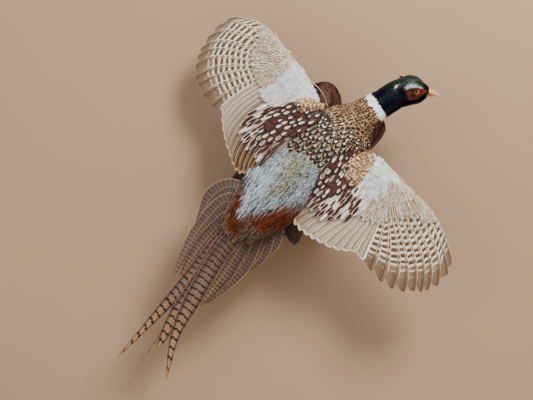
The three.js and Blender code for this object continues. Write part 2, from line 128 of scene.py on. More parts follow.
# %% Paints
class Paint:
    """One material: its nodes, and the shader that they feed."""

    def __init__(self, name, **shader):
        self.material = bpy.data.materials.new(name)
        self.material.use_nodes = True
        self.tree = self.material.node_tree
        self.shader = next(n for n in self.tree.nodes if n.type == "BSDF_PRINCIPLED")
        for socket, value in shader.items():
            self.shader.inputs[socket.replace("_", " ")].default_value = value

    def node(self, kind, settings=None, inputs=None, output=0):
        made = self.tree.nodes.new(kind)
        for key, value in (settings or {}).items():
            setattr(made, key, value)
        for key, value in (inputs or {}).items():
            self.feed(made.inputs[key], value)
        return Wire(self, made.outputs[output])

    def feed(self, socket, value):
        if isinstance(value, Wire):
            self.tree.links.new(value.socket, socket)
        else:
            socket.default_value = value

    def set(self, **sockets):
        for name, value in sockets.items():
            self.feed(self.shader.inputs[name.replace("_", " ")], value)
        return self

    def math(self, operation, *values):
        return self.node("ShaderNodeMath", {"operation": operation}, dict(enumerate(values)))

    def mix(self, factor, a, b):
        """Colour a where factor is 0 and colour b where it is 1."""
        return self.node("ShaderNodeMix", {"data_type": "RGBA"}, {0: factor, 6: a, 7: b}, 2)

    def value(self, name):
        return self.node("ShaderNodeAttribute", {"attribute_name": name}, output="Fac")

    def colour(self, name):
        return self.node("ShaderNodeAttribute", {"attribute_name": name}, output="Color")

    def place(self):
        return self.node("ShaderNodeTexCoord", output="Object")

    def vane(self):
        """Share across the vane (-1 to 1) and share along it (0 at the root)."""
        uv = self.node("ShaderNodeUVMap", {"uv_map": "Vane"})
        apart = self.tree.nodes.new("ShaderNodeSeparateXYZ")
        self.feed(apart.inputs[0], uv)
        return Wire(self, apart.outputs["X"]) * 2 - 1, Wire(self, apart.outputs["Y"])

    def join(self, x, y, z):
        return self.node("ShaderNodeCombineXYZ", inputs={0: x, 1: y, 2: z})

    def noise(self, scale, detail=3.0, rough=0.55, warp=0.0, at=None):
        """A cloudy pattern on the piece's own place, or at another vector."""
        return self.node("ShaderNodeTexNoise", inputs={
            "Vector": at or self.place(), "Scale": scale, "Detail": detail, "Roughness": rough,
            "Distortion": warp})

    def distance(self, point):
        """Millimetres from a point on the piece."""
        metres = self.node("ShaderNodeVectorMath", {"operation": "DISTANCE"}, {0: self.place(), 1: point},
                           "Value")
        return metres * 1000.0

    def bump(self, height, distance, strength):
        return self.set(Normal=self.node("ShaderNodeBump", inputs={
            "Height": height, "Distance": distance, "Strength": strength}))

    def finished(self, colour, height, distance, strength):
        """The material, with its colour and a fine relief."""
        return self.set(Base_Color=colour).bump(height, distance, strength).material


DEEPEN = 1.22  # the film curve of the renderer pales colours, so dark and strong ones are made deeper

# %% Colours
def rgb(red, green, blue):
    """A screen colour of 0 to 255 as the linear colour that nodes use."""
    def linear(c):
        c /= 255
        return (c / 12.92 if c <= 0.04045 else ((c + 0.055) / 1.055) ** 2.4) ** DEEPEN
    return (linear(red), linear(green), linear(blue), 1.0)

# %% Wall, floor and lamps
def added(name, data):
    """A new object in the scene."""
    made = bpy.data.objects.new(name, data)
    bpy.context.scene.collection.objects.link(made)
    return made


def piece_of(bm, name):
    """An object made from a bmesh, which is then freed."""
    mesh = bpy.data.meshes.new(name)
    bm.to_mesh(mesh)
    bm.free()
    return added(name, mesh)


def wear(piece, material):
    """Gives a piece its one material."""
    piece.data.materials.clear()
    piece.data.materials.append(material)


def flat_sheet(name, corners, facing, material):
    bm = bmesh.new()
    bmesh.ops.contextual_create(bm, geom=[bm.verts.new(c) for c in corners])
    bm.normal_update()
    if bm.faces[:][0].normal.dot(Vector(facing)) < 0:
        bmesh.ops.reverse_faces(bm, faces=bm.faces[:])
    sheet = piece_of(bm, name)
    wear(sheet, material)


def plaster(name, colour):
    paint = Paint(name, Roughness=0.9)
    grain = paint.noise(3.0)
    paint.set(Base_Color=paint.mix(grain, colour, tuple(c * 0.94 for c in colour[:3]) + (1.0,)))
    return paint


wall_paint = plaster("wall paint", rgb(178, 153, 128))
see_through = wall_paint.node("ShaderNodeBsdfTransparent")
behind = wall_paint.node("ShaderNodeNewGeometry", output="Backfacing")
either = wall_paint.node("ShaderNodeMixShader", inputs={
    0: behind, 1: Wire(wall_paint, wall_paint.shader.outputs[0]), 2: see_through})
output = next(n for n in wall_paint.tree.nodes if n.type == "OUTPUT_MATERIAL")
wall_paint.feed(output.inputs["Surface"], either)
WALL_Y, WALL_TOP, FLOOR_Z, FLOOR_FRONT, HALF_ROOM = 0.004, 3, -1.05, -4, 3
flat_sheet("wall", [(-HALF_ROOM, WALL_Y, FLOOR_Z), (HALF_ROOM, WALL_Y, FLOOR_Z),
                    (HALF_ROOM, WALL_Y, WALL_TOP), (-HALF_ROOM, WALL_Y, WALL_TOP)],
           (0, -1, 0), wall_paint.material)
flat_sheet("floor", [(-HALF_ROOM, FLOOR_FRONT, FLOOR_Z), (HALF_ROOM, FLOOR_FRONT, FLOOR_Z),
                     (HALF_ROOM, WALL_Y, FLOOR_Z), (-HALF_ROOM, WALL_Y, FLOOR_Z)],
           (0, 0, 1), plaster("floor paint", rgb(214, 206, 196)).material)

# %% Lamps
def lamp(name, place, target, size, power, colour):
    data = bpy.data.lights.new(name, "AREA")
    data.size, data.energy, data.color = size, power, colour
    made = added(name, data)
    made.location = place
    made.rotation_euler = (Vector(target) - Vector(place)).to_track_quat("-Z", "Y").to_euler()


MIDDLE = (0.0, -0.12, -0.05)
lamp("key lamp", (1.0, -1.7, 1.5), MIDDLE, 0.8, 92, (1.0, 0.97, 0.93))
lamp("fill lamp", (-1.6, -1.9, 0.1), MIDDLE, 1.6, 18, (0.93, 0.96, 1.0))
world = bpy.data.worlds.new("room")
world.use_nodes = True
sky = world.node_tree.nodes["Background"].inputs
sky["Color"].default_value = (0.86, 0.83, 0.80, 1.0)
sky["Strength"].default_value = 0.7
bpy.context.scene.world = world

# %% [markdown]
# ## Curves and oval forms
# The solids came from a few stations on smooth curves. The same stations are repeated here, in
# millimetres, because a feather is laid along the form that carries it: a point of the coat is
# found from how far along the body it lies and at which angle round it.

# %% Smooth curves through points
def along(points, share):
    """Places on a smooth curve through points, for shares 0 to 1 of its spans. Ends run on straight."""
    p = np.asarray(points, float)
    spans = len(p) - 1
    place = np.asarray(share, float) * spans
    ends = np.vstack([2 * p[0] - p[1], p, 2 * p[-1] - p[-2]])
    i = np.clip(np.floor(place).astype(int), 0, spans - 1)
    w = np.clip(place - i, 0, 1)[..., None]
    before, a, b, after = ends[i], ends[i + 1], ends[i + 2], ends[i + 3]
    g0, g1, g2 = (np.maximum(np.linalg.norm(q - r, axis=-1, keepdims=True), 1e-9) ** 0.5
                  for r, q in ((before, a), (a, b), (b, after)))
    leave = ((a - before) / g0 - (b - before) / (g0 + g1) + (b - a) / g1) * g1
    arrive = ((b - a) / g1 - (after - a) / (g1 + g2) + (after - b) / g2) * g1
    w2, w3 = w * w, w * w * w
    curve = ((2 * w3 - 3 * w2 + 1) * a + (w3 - 2 * w2 + w) * leave
             + (3 * w2 - 2 * w3) * b + (w3 - w2) * arrive)
    over = (place - i)[..., None] - w  # beyond the ends
    return curve + over * np.where(over < 0, leave, arrive)


def unit(v):
    return v / np.maximum(np.linalg.norm(v, axis=-1, keepdims=True), 1e-9)


def smooth(low, high, value):
    t = np.clip((value - low) / (high - low), 0, 1)
    return t * t * (3 - 2 * t)


def blend(a, b, share):
    return a + (b - a) * share

# %% Stations of the trunk, neck and head
# Each row: centre x, y, z, half width across the back, half depth.
TRUNK = np.array([
    (-124, -144, -166, 16, 5), (-111, -143, -151, 39, 14), (-84, -138, -123, 54, 31),
    (-49, -130, -88, 62, 46), (0, -122, -39, 67, 56), (49, -116, 6, 67, 60),
    (88, -112, 32, 61, 57), (117, -108, 36, 58, 49), (143, -104, 25, 45, 36),
    (155, -102, 14, 20, 14)], float)
NECK = np.array([
    (78, -128, 33, 48, 38), (109, -138, 57, 40, 34), (129, -145, 71, 33, 30),
    (144, -148, 81.5, 30.5, 28), (157, -149, 91, 28, 26.5), (176, -150, 101, 24, 25),
    (194, -150, 112, 21, 28), (214, -150, 118, 20, 30), (231, -150, 115, 15.5, 23.5),
    (243, -150, 113.5, 10.5, 14.5), (250, -150, 112, 7, 9)], float)
BODY_ROLL, HEAD_TILT = math.radians(14), math.radians(38)
ALONG_BACK = unit(np.array([0.72, 0, 0.69]))
TO_LEFT = np.array([-ALONG_BACK[2], 0, ALONG_BACK[0]])
BACK_MIDDLE = np.array([20, 0, -20])
BACK = np.array([0, -math.cos(BODY_ROLL), 0]) + TO_LEFT * math.sin(BODY_ROLL)
CROWN = np.array([0.16 * math.cos(HEAD_TILT), -math.sin(HEAD_TILT), 0.98 * math.cos(HEAD_TILT)])


def oval_form(stations, facing):
    """A function from (station, angle round the form) to a point. Angle 90 degrees is the back."""
    last = len(stations) - 1

    def surface(station, angle):
        t = station / last
        centre, size = along(stations[:, :3], t), np.maximum(along(stations[:, 3:], t), 2)
        ahead = unit(along(stations[:, :3], t + 1e-3) - along(stations[:, :3], t - 1e-3))
        side = unit(np.cross(ahead, facing(station)))
        dorsal = np.cross(side, ahead)
        return (centre + side * (np.cos(angle) * size[..., 0])[..., None]
                + dorsal * (np.sin(angle) * size[..., 1])[..., None])
    return surface


def neck_facing(station):
    share = smooth(2, 6, station)[..., None]
    return unit(BACK * (1 - share) + CROWN * share)


trunk_form = oval_form(TRUNK, lambda station: np.broadcast_to(BACK, np.shape(station) + (3,)))
neck_form = oval_form(NECK, neck_facing)
HEAD_AXIS = unit(NECK[9, :3] - NECK[7, :3])
HEAD_SIDE = unit(np.cross(HEAD_AXIS, CROWN))
HEAD_UP = np.cross(HEAD_SIDE, HEAD_AXIS)
HEAD_MIDDLE = NECK[8, :3]


def other_side(p):
    return p - 2 * ((p - HEAD_MIDDLE) @ HEAD_SIDE)[..., None] * HEAD_SIDE

# %% Wings as surfaces
# u runs from the innermost feather to the outermost primary, v from the leading edge to the tips.
WINGS = {
    "right": {
        "lead": [(112, -140, -9), (152, -155, -22), (176, -165, -43), (205, -168, -70), (234, -167, -100)],
        "inner": [(-22, -147, -120), (0, -137, -161), (45, -131, -189), (111, -130, -208)],
        "outer": [(111, -130, -208), (161, -134, -263), (226, -139, -281), (275, -146, -266),
                  (296, -150, -219)],
        "bow": (6, 4, 14), "arch": 9},
    "left": {
        "lead": [(46, -142, 64), (21, -150, 119), (-2, -148, 158), (-22, -142, 187), (-43, -134, 214)],
        "inner": [(-102, -127, -57), (-135, -106, -22), (-157, -90, 40), (-163, -81, 84)],
        "outer": [(-163, -81, 84), (-199, -72, 120), (-207, -69, 176), (-188, -75, 236), (-141, -86, 267)],
        "bow": (8, 7, 19), "arch": 8}}
WRIST = 0.5
PRIMARIES, SECONDARIES = 10, 13
COVERED = 0.44
REAR_THICK = 2.2


def wing_form(wing):
    lead_middle = along(wing["lead"], np.array(0.5)) - along(wing["lead"], np.array(0.4))

    def surface(u, v):
        root = along(wing["lead"], u)
        tip = np.where((u < WRIST)[..., None], along(wing["inner"], np.minimum(u, WRIST) / WRIST),
                       along(wing["outer"], np.maximum(u - WRIST, 0) / (1 - WRIST)))
        across = tip - root
        outward = unit(np.stack([-across[..., 2], 0 * u, across[..., 0]], -1))
        outward = outward * np.sign(outward @ lead_middle)[..., None]
        near, wrist, far = wing["bow"]
        bow = np.where(u < WRIST, blend(near, wrist, u / WRIST), blend(wrist, far, (u - WRIST) / (1 - WRIST)))
        hump = 4 * v * (1 - v)
        return (root + across * v[..., None] + outward * (bow * hump)[..., None]
                + np.array([0, -1.0, 0]) * (wing["arch"] * hump)[..., None])
    return surface


def arm_thick(u, v):
    bone = np.where(u < WRIST, blend(26, 15, u / WRIST), blend(15, 6, (u - WRIST) / (1 - WRIST)))
    nose = np.sqrt(np.clip(v / 0.12 + 0.06, 0, 1))
    return blend(bone * nose, REAR_THICK, smooth(0.05, COVERED, v))


def calm_thick(u, v):
    """The same thickness, but falling gently ahead of the leading edge, for the feathers that lie on it."""
    return arm_thick(u, np.maximum(v, 0.02)) * smooth(-0.12, 0.02, v)


wing_surface = {side: wing_form(wing) for side, wing in WINGS.items()}


def slopes(surface, a, b, step=2e-3):
    """How the surface runs along its two directions, and the way it faces."""
    da = (surface(a + step, b) - surface(a - step, b)) / (2 * step)
    db = (surface(a, b + step) - surface(a, b - step)) / (2 * step)
    return da, db, unit(np.cross(da, db))


for name, form in (("trunk", trunk_form), ("neck", neck_form)):
    print(name, "back at station 4:", form(np.array(4.0), np.array(math.pi / 2)).round(1))

# %% [markdown]
# ## One skin
# The flesh solids have thin gaps between them. Copies of them are grown a little until they meet,
# remeshed as one closed body, smoothed, and drawn in by the depth of the coat that will cover them.
# Where the flesh is thin, as at the hand of a wing, it is drawn in less.

# %% Join, remesh and draw in
FLESH = ["trunk", "neck", "head", "thigh_right", "thigh_left", "wing_right_arm", "wing_left_arm"]
COAT_DEPTH, FACE_DEPTH = 0.0026, 0.0009


def grown_copy(name, grow):
    """A merged copy of a solid, each vertex moved out along its normal."""
    bm = bmesh.new()
    bm.from_mesh(nodes[name].data)
    bmesh.ops.remove_doubles(bm, verts=bm.verts, dist=1e-6)
    bm.normal_update()
    for vert in bm.verts:
        vert.co += vert.normal * grow
    return bm


def joined(name, parts):
    """One object that holds several meshes."""
    mesh = bpy.data.meshes.new(name)
    whole = bmesh.new()
    for bm in parts:
        bm.to_mesh(mesh)
        bm.free()
        whole.from_mesh(mesh)
    return piece_of(whole, name)


def apply_modifiers(piece):
    """Replaces the piece's mesh by what its modifiers make."""
    seen = piece.evaluated_get(bpy.context.evaluated_depsgraph_get())
    mesh = bpy.data.meshes.new_from_object(seen)
    piece.modifiers.clear()
    piece.data = mesh
    mesh.name = piece.name


def remeshed(piece, voxel, passes):
    piece.modifiers.new("one body", "REMESH").mode = "VOXEL"
    piece.modifiers["one body"].voxel_size = voxel
    calm = piece.modifiers.new("calm", "SMOOTH")
    calm.iterations, calm.factor = passes, 0.5
    apply_modifiers(piece)
    piece.data.shade_smooth()

# %% Read and write the points of a mesh
def coordinates(mesh):
    co = np.empty(len(mesh.vertices) * 3, np.float32)
    mesh.vertices.foreach_get("co", co)
    return co.reshape(-1, 3).astype(float)


def set_coordinates(mesh, co):
    mesh.vertices.foreach_set("co", co.ravel().astype(np.float32))
    mesh.update()


def facings(mesh):
    normals = np.empty(len(mesh.vertices) * 3, np.float32)
    mesh.vertex_normals.foreach_get("vector", normals)
    return normals.reshape(-1, 3).astype(float)


def tree_of(mesh, scale=1.0):
    return BVHTree.FromPolygons((coordinates(mesh) * scale).tolist(),
                                [list(p.vertices) for p in mesh.polygons])

# %% One skin over body, wings and thighs
GROW = 0.0006
skin = joined("skin", [grown_copy(name, GROW if "arm" not in name else 0.0004) for name in FLESH])
remeshed(skin, 0.0026, 7)
co, out = coordinates(skin.data), facings(skin.data)
tree = tree_of(skin.data)
near_face = np.linalg.norm(co - HEAD_MIDDLE * MM, axis=1) < 0.040
wanted = np.where(near_face, FACE_DEPTH, COAT_DEPTH) + GROW
for i, (p, n) in enumerate(zip(co, out)):
    hit = tree.ray_cast(Vector(p - n * 2e-4), Vector(-n))
    if hit[3] is not None:
        wanted[i] = min(wanted[i], hit[3] * 0.33)
co -= out * wanted[:, None]
set_coordinates(skin.data, co)
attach(skin, "root")
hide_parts(*FLESH)
skin_tree = tree_of(skin.data, 1 / MM)
print("skin:", len(skin.data.polygons), "faces")

# %% [markdown]
# ## Feathers as thin closed vanes
# A feather is a leaf of two thin surfaces that meet along its rim, a little arched across, and drawn
# from a grid by its outline. One pattern is made with bmesh, and a whole coat is many copies of it
# laid side by side in one mesh: each copy follows the form under it, starts close to the skin and
# lifts towards its tip, so that it lies over the roots of the feathers behind it.

# %% The pattern of one feather
def feather_pattern(columns, outline):
    """columns: places across, -1 to 1. outline: rows of (share along, half width).
    Gives points (across, along, height), four-sided faces, and which side each face is on."""
    bm = bmesh.new()
    side = bm.faces.layers.int.new("under")
    bmesh.ops.create_grid(bm, x_segments=len(columns) - 1, y_segments=len(outline) - 1, size=1.0)
    for vert in bm.verts:
        column = round((vert.co.x + 1) / 2 * (len(columns) - 1))
        row = round((vert.co.y + 1) / 2 * (len(outline) - 1))
        share, wide = outline[row]
        rim = vert.is_boundary
        vert.co = (columns[column] * wide, share, 0.0 if rim else 1.0)
    under = bmesh.ops.duplicate(bm, geom=bm.faces[:])
    under_faces = [f for f in under["geom"] if isinstance(f, bmesh.types.BMFace)]
    bmesh.ops.reverse_faces(bm, faces=under_faces)
    for vert in {v for f in under_faces for v in f.verts}:
        if vert.co.z > 0:
            vert.co.z = -1.0
    for face in under_faces:
        face[side] = 1
    bmesh.ops.remove_doubles(bm, verts=bm.verts, dist=1e-5)
    bm.verts.index_update()
    points = np.array([v.co[:] for v in bm.verts])
    faces = np.array([[v.index for v in f.verts] for f in bm.faces])
    below = np.array([f[side] for f in bm.faces], bool)
    bm.free()
    wide = np.interp(points[:, 1], *np.array(outline).T)
    return {"points": points, "faces": faces, "below": below, "column": points[:, 0] / wide}


SMALL = feather_pattern([-1, 0, 1], [(0, 0.45), (0.4, 0.92), (0.78, 1.0), (1.0, 0.42)])
ROUND = feather_pattern([-1, 0, 1], [(0, 0.4), (0.3, 0.82), (0.62, 1.0), (0.87, 0.84), (1.0, 0.34)])
LARGE = feather_pattern([-1, -0.55, 0, 0.55, 1],
                        [(0, 0.35), (0.25, 0.74), (0.5, 0.97), (0.72, 1.0), (0.9, 0.8), (1.0, 0.36)])
HAIRY = feather_pattern([-1, 0, 1], [(0, 0.5), (0.3, 1.0), (0.62, 0.78), (0.85, 0.42), (1.0, 0.1)])
print("faces of one small feather:", len(SMALL["faces"]), "and of a large one:", len(LARGE["faces"]))

# %% Roots in staggered rows
rng = np.random.default_rng(4557)  # one seeded source, so that each run gives the same coat


def shade(count):
    """One number from 0 to 1 for each feather."""
    return rng.uniform(0, 1, count)


LOOSE = 0.16  # a root strays by up to this share of the gap to the next one


def body_roots(surface, first, last, row_gap, column_gap):
    """Roots on an oval form from station first to last: rows round it, so far apart in millimetres."""
    station = np.linspace(first, last, 300)
    back, front = (surface(station, np.full(300, angle)) for angle in (math.pi / 2, -math.pi / 2))
    spine = back * 0.5 + front * 0.5
    gone = np.concatenate([[0], np.cumsum(np.linalg.norm(np.diff(spine, axis=0), axis=1) / row_gap)])
    rows = int(gone[-1])
    found = []
    for row, s in enumerate(np.interp(np.arange(rows) + 0.5, gone, station)):
        ring = surface(np.full(60, s), np.linspace(0, 2 * math.pi, 60))
        count = max(4, round(np.linalg.norm(np.diff(ring, axis=0), axis=1).sum() / column_gap))
        for column in range(count):
            share = (column + 0.25 + 0.5 * (row % 2)) / count
            found.append((s, share * 2 * math.pi, (column + 0.5) / count, (row + 0.5) / rows, 1 / count,
                          1 / rows))
    found = np.array(found)
    found[:, 0] += rng.uniform(-LOOSE, LOOSE, len(found)) * (last - first) / rows
    found[:, 1] += rng.uniform(-LOOSE, LOOSE, len(found)) * (2 * math.pi) * found[:, 4]
    return {"a": found[:, 0], "b": found[:, 1], "map": found[:, 2:]}


def wing_roots(side, u_range, v_rows, column_gap):
    """Roots on a wing: rows along the wing at each share v, columns so far apart at the leading edge."""
    found = []
    for row, v in enumerate(v_rows):
        line = wing_surface[side](np.linspace(*u_range, 40), np.full(40, v))
        count = max(3, round(np.linalg.norm(np.diff(line, axis=0), axis=1).sum() / column_gap))
        for column in range(count):
            share = (column + 0.25 + 0.5 * (row % 2)) / count
            found.append((u_range[0] + share * (u_range[1] - u_range[0]), v, (column + 0.5) / count,
                          (row + 0.5) / len(v_rows), 1 / count, 1 / len(v_rows)))
    found = np.array(found)
    found[:, 0] += rng.uniform(-LOOSE, LOOSE, len(found)) * (u_range[1] - u_range[0]) * found[:, 4]
    found[:, 1] += rng.uniform(-0.003, 0.003, len(found))
    return {"a": found[:, 0], "b": found[:, 1], "map": found[:, 2:]}

# %% Lay copies of the pattern along a form
UNDER_ARCH = 0.55  # the lower side of a vane is arched by this share of the upper side


def two_sides(z, upper, lower):
    """One value for the points on a vane's upper side, another on its lower side, and 0 on its rim."""
    return np.where(z > 0, upper, np.where(z < 0, lower, 0.0))


HOLD = 6.0  # millimetres from the skin within which a feather is held by it


def lie_on_skin(points, facing, height, tree):
    """Moves points of a coat to their height over the skin. Further off than HOLD they stay where
    the form has them, unless they are inside the skin."""
    flat, lift = points.reshape(-1, 3), height.ravel()
    away = flat + facing.reshape(-1, 3) * lift[:, None]
    placed = away.copy()
    for i, p in enumerate(flat):
        near, normal, _, gap = tree.find_nearest(Vector(p))
        on_skin = np.array(near) + np.array(normal) * lift[i]
        inside = (p - np.array(near)) @ np.array(normal) < 0
        hold = 1.0 if inside else 1 - smooth(HOLD, HOLD * 2, gap)
        placed[i] = blend(away[i], on_skin, hold)
    return placed.reshape(points.shape)


def columns_of(count, *measures):
    """Each measure as a column with one row for each feather."""
    return (np.broadcast_to(np.asarray(m, float), (count,))[:, None] for m in measures)


def lay(surface, roots, pattern, length, half, lift, *, forward=-1.0, along_b=False, yaw=0.0,
        base=0.3, arch=0.12, tree=None, turn=1.0, sway=0.09):
    """Feathers of one pattern over a form. length, half and lift are in millimetres, one per root.
    The feathers run down the form's first direction, or down its second where along_b is set."""
    a, b = roots["a"], roots["b"]
    count = len(a)
    length, half, lift, yaw, arch, base = columns_of(count, length, half, lift, yaw, arch, base)
    x, y, z = pattern["points"].T[:, None, :]
    da, db, _ = slopes(surface, a, b)
    size_a, size_b = (np.linalg.norm(d, axis=1)[:, None] for d in (da, db))
    yaw = yaw + rng.uniform(-sway, sway, (count, 1))
    length = length * rng.uniform(0.92, 1.08, (count, 1))
    lift = lift * rng.uniform(0.8, 1.25, (count, 1))
    hand = forward * turn if along_b else -forward * turn  # keeps the upper side up
    across, ahead = x * half * hand, y * length
    across, ahead = across * np.cos(yaw) + ahead * np.sin(yaw), ahead * np.cos(yaw) - across * np.sin(yaw)
    if along_b:
        at_a, at_b = a[:, None] + across / size_a, b[:, None] + forward * ahead / size_b
    else:
        at_a, at_b = a[:, None] + forward * ahead / size_a, b[:, None] + across / size_b
    points = surface(at_a, at_b)
    facing = slopes(surface, at_a, at_b)[2] * turn
    inner = 1 - (np.abs(x) / np.maximum(np.abs(x).max(), 1e-6)) ** 2
    height = base + lift * y + two_sides(z, inner * arch * half, inner * arch * half * UNDER_ARCH)
    if tree is None:
        return points + facing * height[..., None]
    return lie_on_skin(points, facing, height, tree)

# %% Join the laid feathers into one piece
MAP_FILL = 0.86


def share_map(parts):
    """Gives each part its own band of the bake map."""
    return [(pattern, points, place * [1, 1 / len(parts), 1, 1 / len(parts)] + [0, i / len(parts), 0, 0],
             facts)
            for i, (pattern, points, place, facts) in enumerate(parts)]


def give(mesh, key, data):
    """Stores one number or one colour for each vertex, for the materials to read."""
    if data.ndim == 2:
        data = np.hstack([data, np.ones((len(data), 1))])
        data = data.ravel().astype(np.float32)
        mesh.attributes.new(key, "FLOAT_COLOR", "POINT").data.foreach_set("color", data)
    else:
        mesh.attributes.new(key, "FLOAT", "POINT").data.foreach_set("value", data.astype(np.float32))


def finish_piece(piece, material, replaced=()):
    wear(piece, material)
    piece.data.shade_smooth()
    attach(piece, "root")
    if replaced:
        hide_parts(*replaced)
    print(piece.name, len(piece.data.polygons), "faces")

# %% Many feathers as one piece
def feather_piece(name, parts, material, replaced=()):
    """parts: (pattern, points, root map, {attribute: one number or colour for each feather}).
    Joins all feathers of the parts in one mesh with a Vane map, its attributes and the bake map."""
    points_all, faces_all, vane_all, bake_all, start = [], [], [], [], 0
    values = {}
    for pattern, points, place, facts in parts:
        count, size = points.shape[:2]
        faces = pattern["faces"]
        points_all.append(points.reshape(-1, 3))
        faces_all.append((faces[None] + (np.arange(count) * size)[:, None, None] + start).reshape(-1, 4))
        start += count * size
        corner = pattern["points"][faces.ravel()]
        widest = np.abs(pattern["points"][:, 0]).max()
        vane = np.stack([corner[:, 0] / widest * 0.5 + 0.5, corner[:, 1]], -1)
        vane_all.append(np.tile(vane, (count, 1)))
        strip = np.where(np.repeat(pattern["below"], 4), 0.86 + 0.12 * vane[:, 1], 0.8 * vane[:, 1])
        spot = np.stack([vane[:, 0], strip], -1)[None] - 0.5
        bake_all.append((place[:, None, :2] + spot * place[:, None, 2:] * MAP_FILL).reshape(-1, 2))
        for key, value in facts.items():
            value = np.asarray(value, float)
            per_point = value.ravel() if value.shape == (count, size) else np.repeat(value, size, axis=0)
            values.setdefault(key, []).append(per_point)
    mesh = bpy.data.meshes.new(name)
    co, faces = np.concatenate(points_all) * MM, np.concatenate(faces_all)
    mesh.vertices.add(len(co))
    mesh.vertices.foreach_set("co", co.ravel().astype(np.float32))
    mesh.loops.add(faces.size)
    mesh.loops.foreach_set("vertex_index", faces.ravel().astype(np.int32))
    mesh.polygons.add(len(faces))
    mesh.polygons.foreach_set("loop_start", np.arange(0, faces.size, 4, dtype=np.int32))
    mesh.update(calc_edges=True)
    for layer, data in (("Vane", vane_all), ("OFBake", bake_all)):
        uv = mesh.uv_layers.new(name=layer)
        uv.uv.foreach_set("vector", np.concatenate(data).ravel().astype(np.float32))
    for key, data in values.items():
        give(mesh, key, np.concatenate(data))
    finish_piece(added(name, mesh), material, replaced)
    mesh.set_sharp_from_angle(angle=math.radians(70))


def coat(name, pattern, points, roots, material, slot, **facts):
    """A piece with feathers of one pattern. Each feather also gets a tone of its own."""
    feather_piece(name, [(pattern, points, roots["map"], {"Tone": shade(len(points)), **facts})], material)

# %% [markdown]
# ## Places on the bird
# A cock pheasant wears a different coat on each part. The zones are outlines on the plane of the wall,
# in millimetres, as they are seen from the front. `inside` gives how far a place lies inside an
# outline, so one zone can fade into the next. A feather belongs to the zone its tip shows in.

# %% Outlines of the zones
PLANE_Y = -150  # the zones are drawn on a plane so far in front of the wall, in millimetres


def seen_flat(points):
    """Places as seen from the camera, on the plane of the zones."""
    eye = np.array(CAMERA_AT) / MM
    share = (PLANE_Y - eye[1]) / (points[..., 1] - eye[1])
    return (eye + (points - eye) * share[..., None])[..., [0, 2]]


def inside_flat(flat, outline):
    """Distance inside an outline on a plane, in millimetres. It is negative outside."""
    ring = np.array(outline, float)
    nearest = np.full(flat.shape[:-1], 1e9)
    odd = np.zeros(flat.shape[:-1], bool)
    for a, b in zip(ring, np.roll(ring, -1, axis=0)):
        run = b - a
        t = np.clip(((flat - a) @ run) / (run @ run), 0, 1)
        nearest = np.minimum(nearest, np.linalg.norm(flat - a - t[..., None] * run, axis=-1))
        crosses = (a[1] > flat[..., 1]) != (b[1] > flat[..., 1])
        rise = np.where(b[1] == a[1], 1, b[1] - a[1])
        odd ^= crosses & (flat[..., 0] < run[0] * (flat[..., 1] - a[1]) / rise + a[0])
    return np.where(odd, nearest, -nearest)


def inside(points, outline):
    return inside_flat(seen_flat(points), outline)


ZONES = {
    "mantle": [(140, 111), (121, 109), (88, 98), (48, 84), (39, 67), (20, 50), (-4, 34), (-22, 22), (-25, 9),
               (-13, -1),
               (0, -3), (20, -10), (34, -20), (37, -31), (50, -27), (66, -18), (85, -12), (109, -4), (133, 0),
               (140, 29),
               (158, 55)],
    "olive": [(-15, 1), (0, -1), (23, -10), (27, -24), (12, -35), (0, -51), (-11, -68), (-23, -83),
              (-42, -91), (-50, -85),
              (-58, -78), (-50, -64), (-38, -47), (-36, -26), (-27, -14)],
    "left rust": [(-106, -54), (-100, -66), (-112, -98), (-117, -124), (-108, -150), (-112, -174),
                  (-130, -162),
                  (-146, -138), (-140, -108), (-126, -78), (-116, -60)],
    "right rust": [(-98, -124), (-70, -126), (-47, -116), (-22, -114), (-10, -126), (-22, -152), (-56, -158),
                   (-74, -164), (-84, -152), (-98, -142)],
    "rump": [(-170, -40), (-110, -46), (-120, -72), (-136, -104), (-138, -124), (-120, -128), (-98, -124),
             (-70, -123), (-47, -114), (-20, -110), (20, -104), (10, -220), (-190, -220)],
    "breast": [(158, 62), (140, 39), (130, 0), (140, -20), (179, -20), (179, 58)],
}

# %% Helpers for feathers of a zone
def share_of(points, zone, soft=7.0):
    return smooth(-soft, soft, inside(points, ZONES[zone]))


def tint(*colour):
    return np.array(rgb(*colour)[:3])


def tints(first, second, share):
    """Colours between two, one for each share."""
    return blend(tint(*first), tint(*second), share)


def some(roots, keep):
    return {key: value[keep] for key, value in roots.items()}


def tips_of(surface, roots, reach):
    """Places on a form a reach further on than the roots, where the feathers show."""
    size = np.linalg.norm(slopes(surface, roots["a"], roots["b"])[0], axis=1)
    return surface(roots["a"] - reach / size, roots["b"])


def over_skin(points, slack=7.0):
    """True for places that are not buried deep under another form."""
    kept = np.ones(len(points), bool)
    for i, p in enumerate(points):
        near, normal, _, gap = skin_tree.find_nearest(Vector(p))
        kept[i] = gap < slack or (p - np.array(near)) @ np.array(normal) > 0
    return kept

# %% Patterns on a vane
def drop_vane(paint, x, y, middle, across, along_it, rough):
    """0 at the middle of a drop on the vane, 1 at its rim and more outside."""
    wobble = paint.noise(260.0, 2.0) - 0.5
    near = paint.math("SQRT", (x / across) ** 2.0 + ((y - middle) / along_it) ** 2.0)
    return near + wobble * rough * 2


def barbs(paint, x, y, fine=1.0):
    """Fine lines of the vane, which run from the shaft out and towards the tip."""
    run = abs(x)
    return paint.noise(3.2, 2.0,
                       at=paint.join(run * 2.2 * fine, (y * 9.0 - run * 2.6) * fine,
                                     paint.value("Tone") * 40.0))

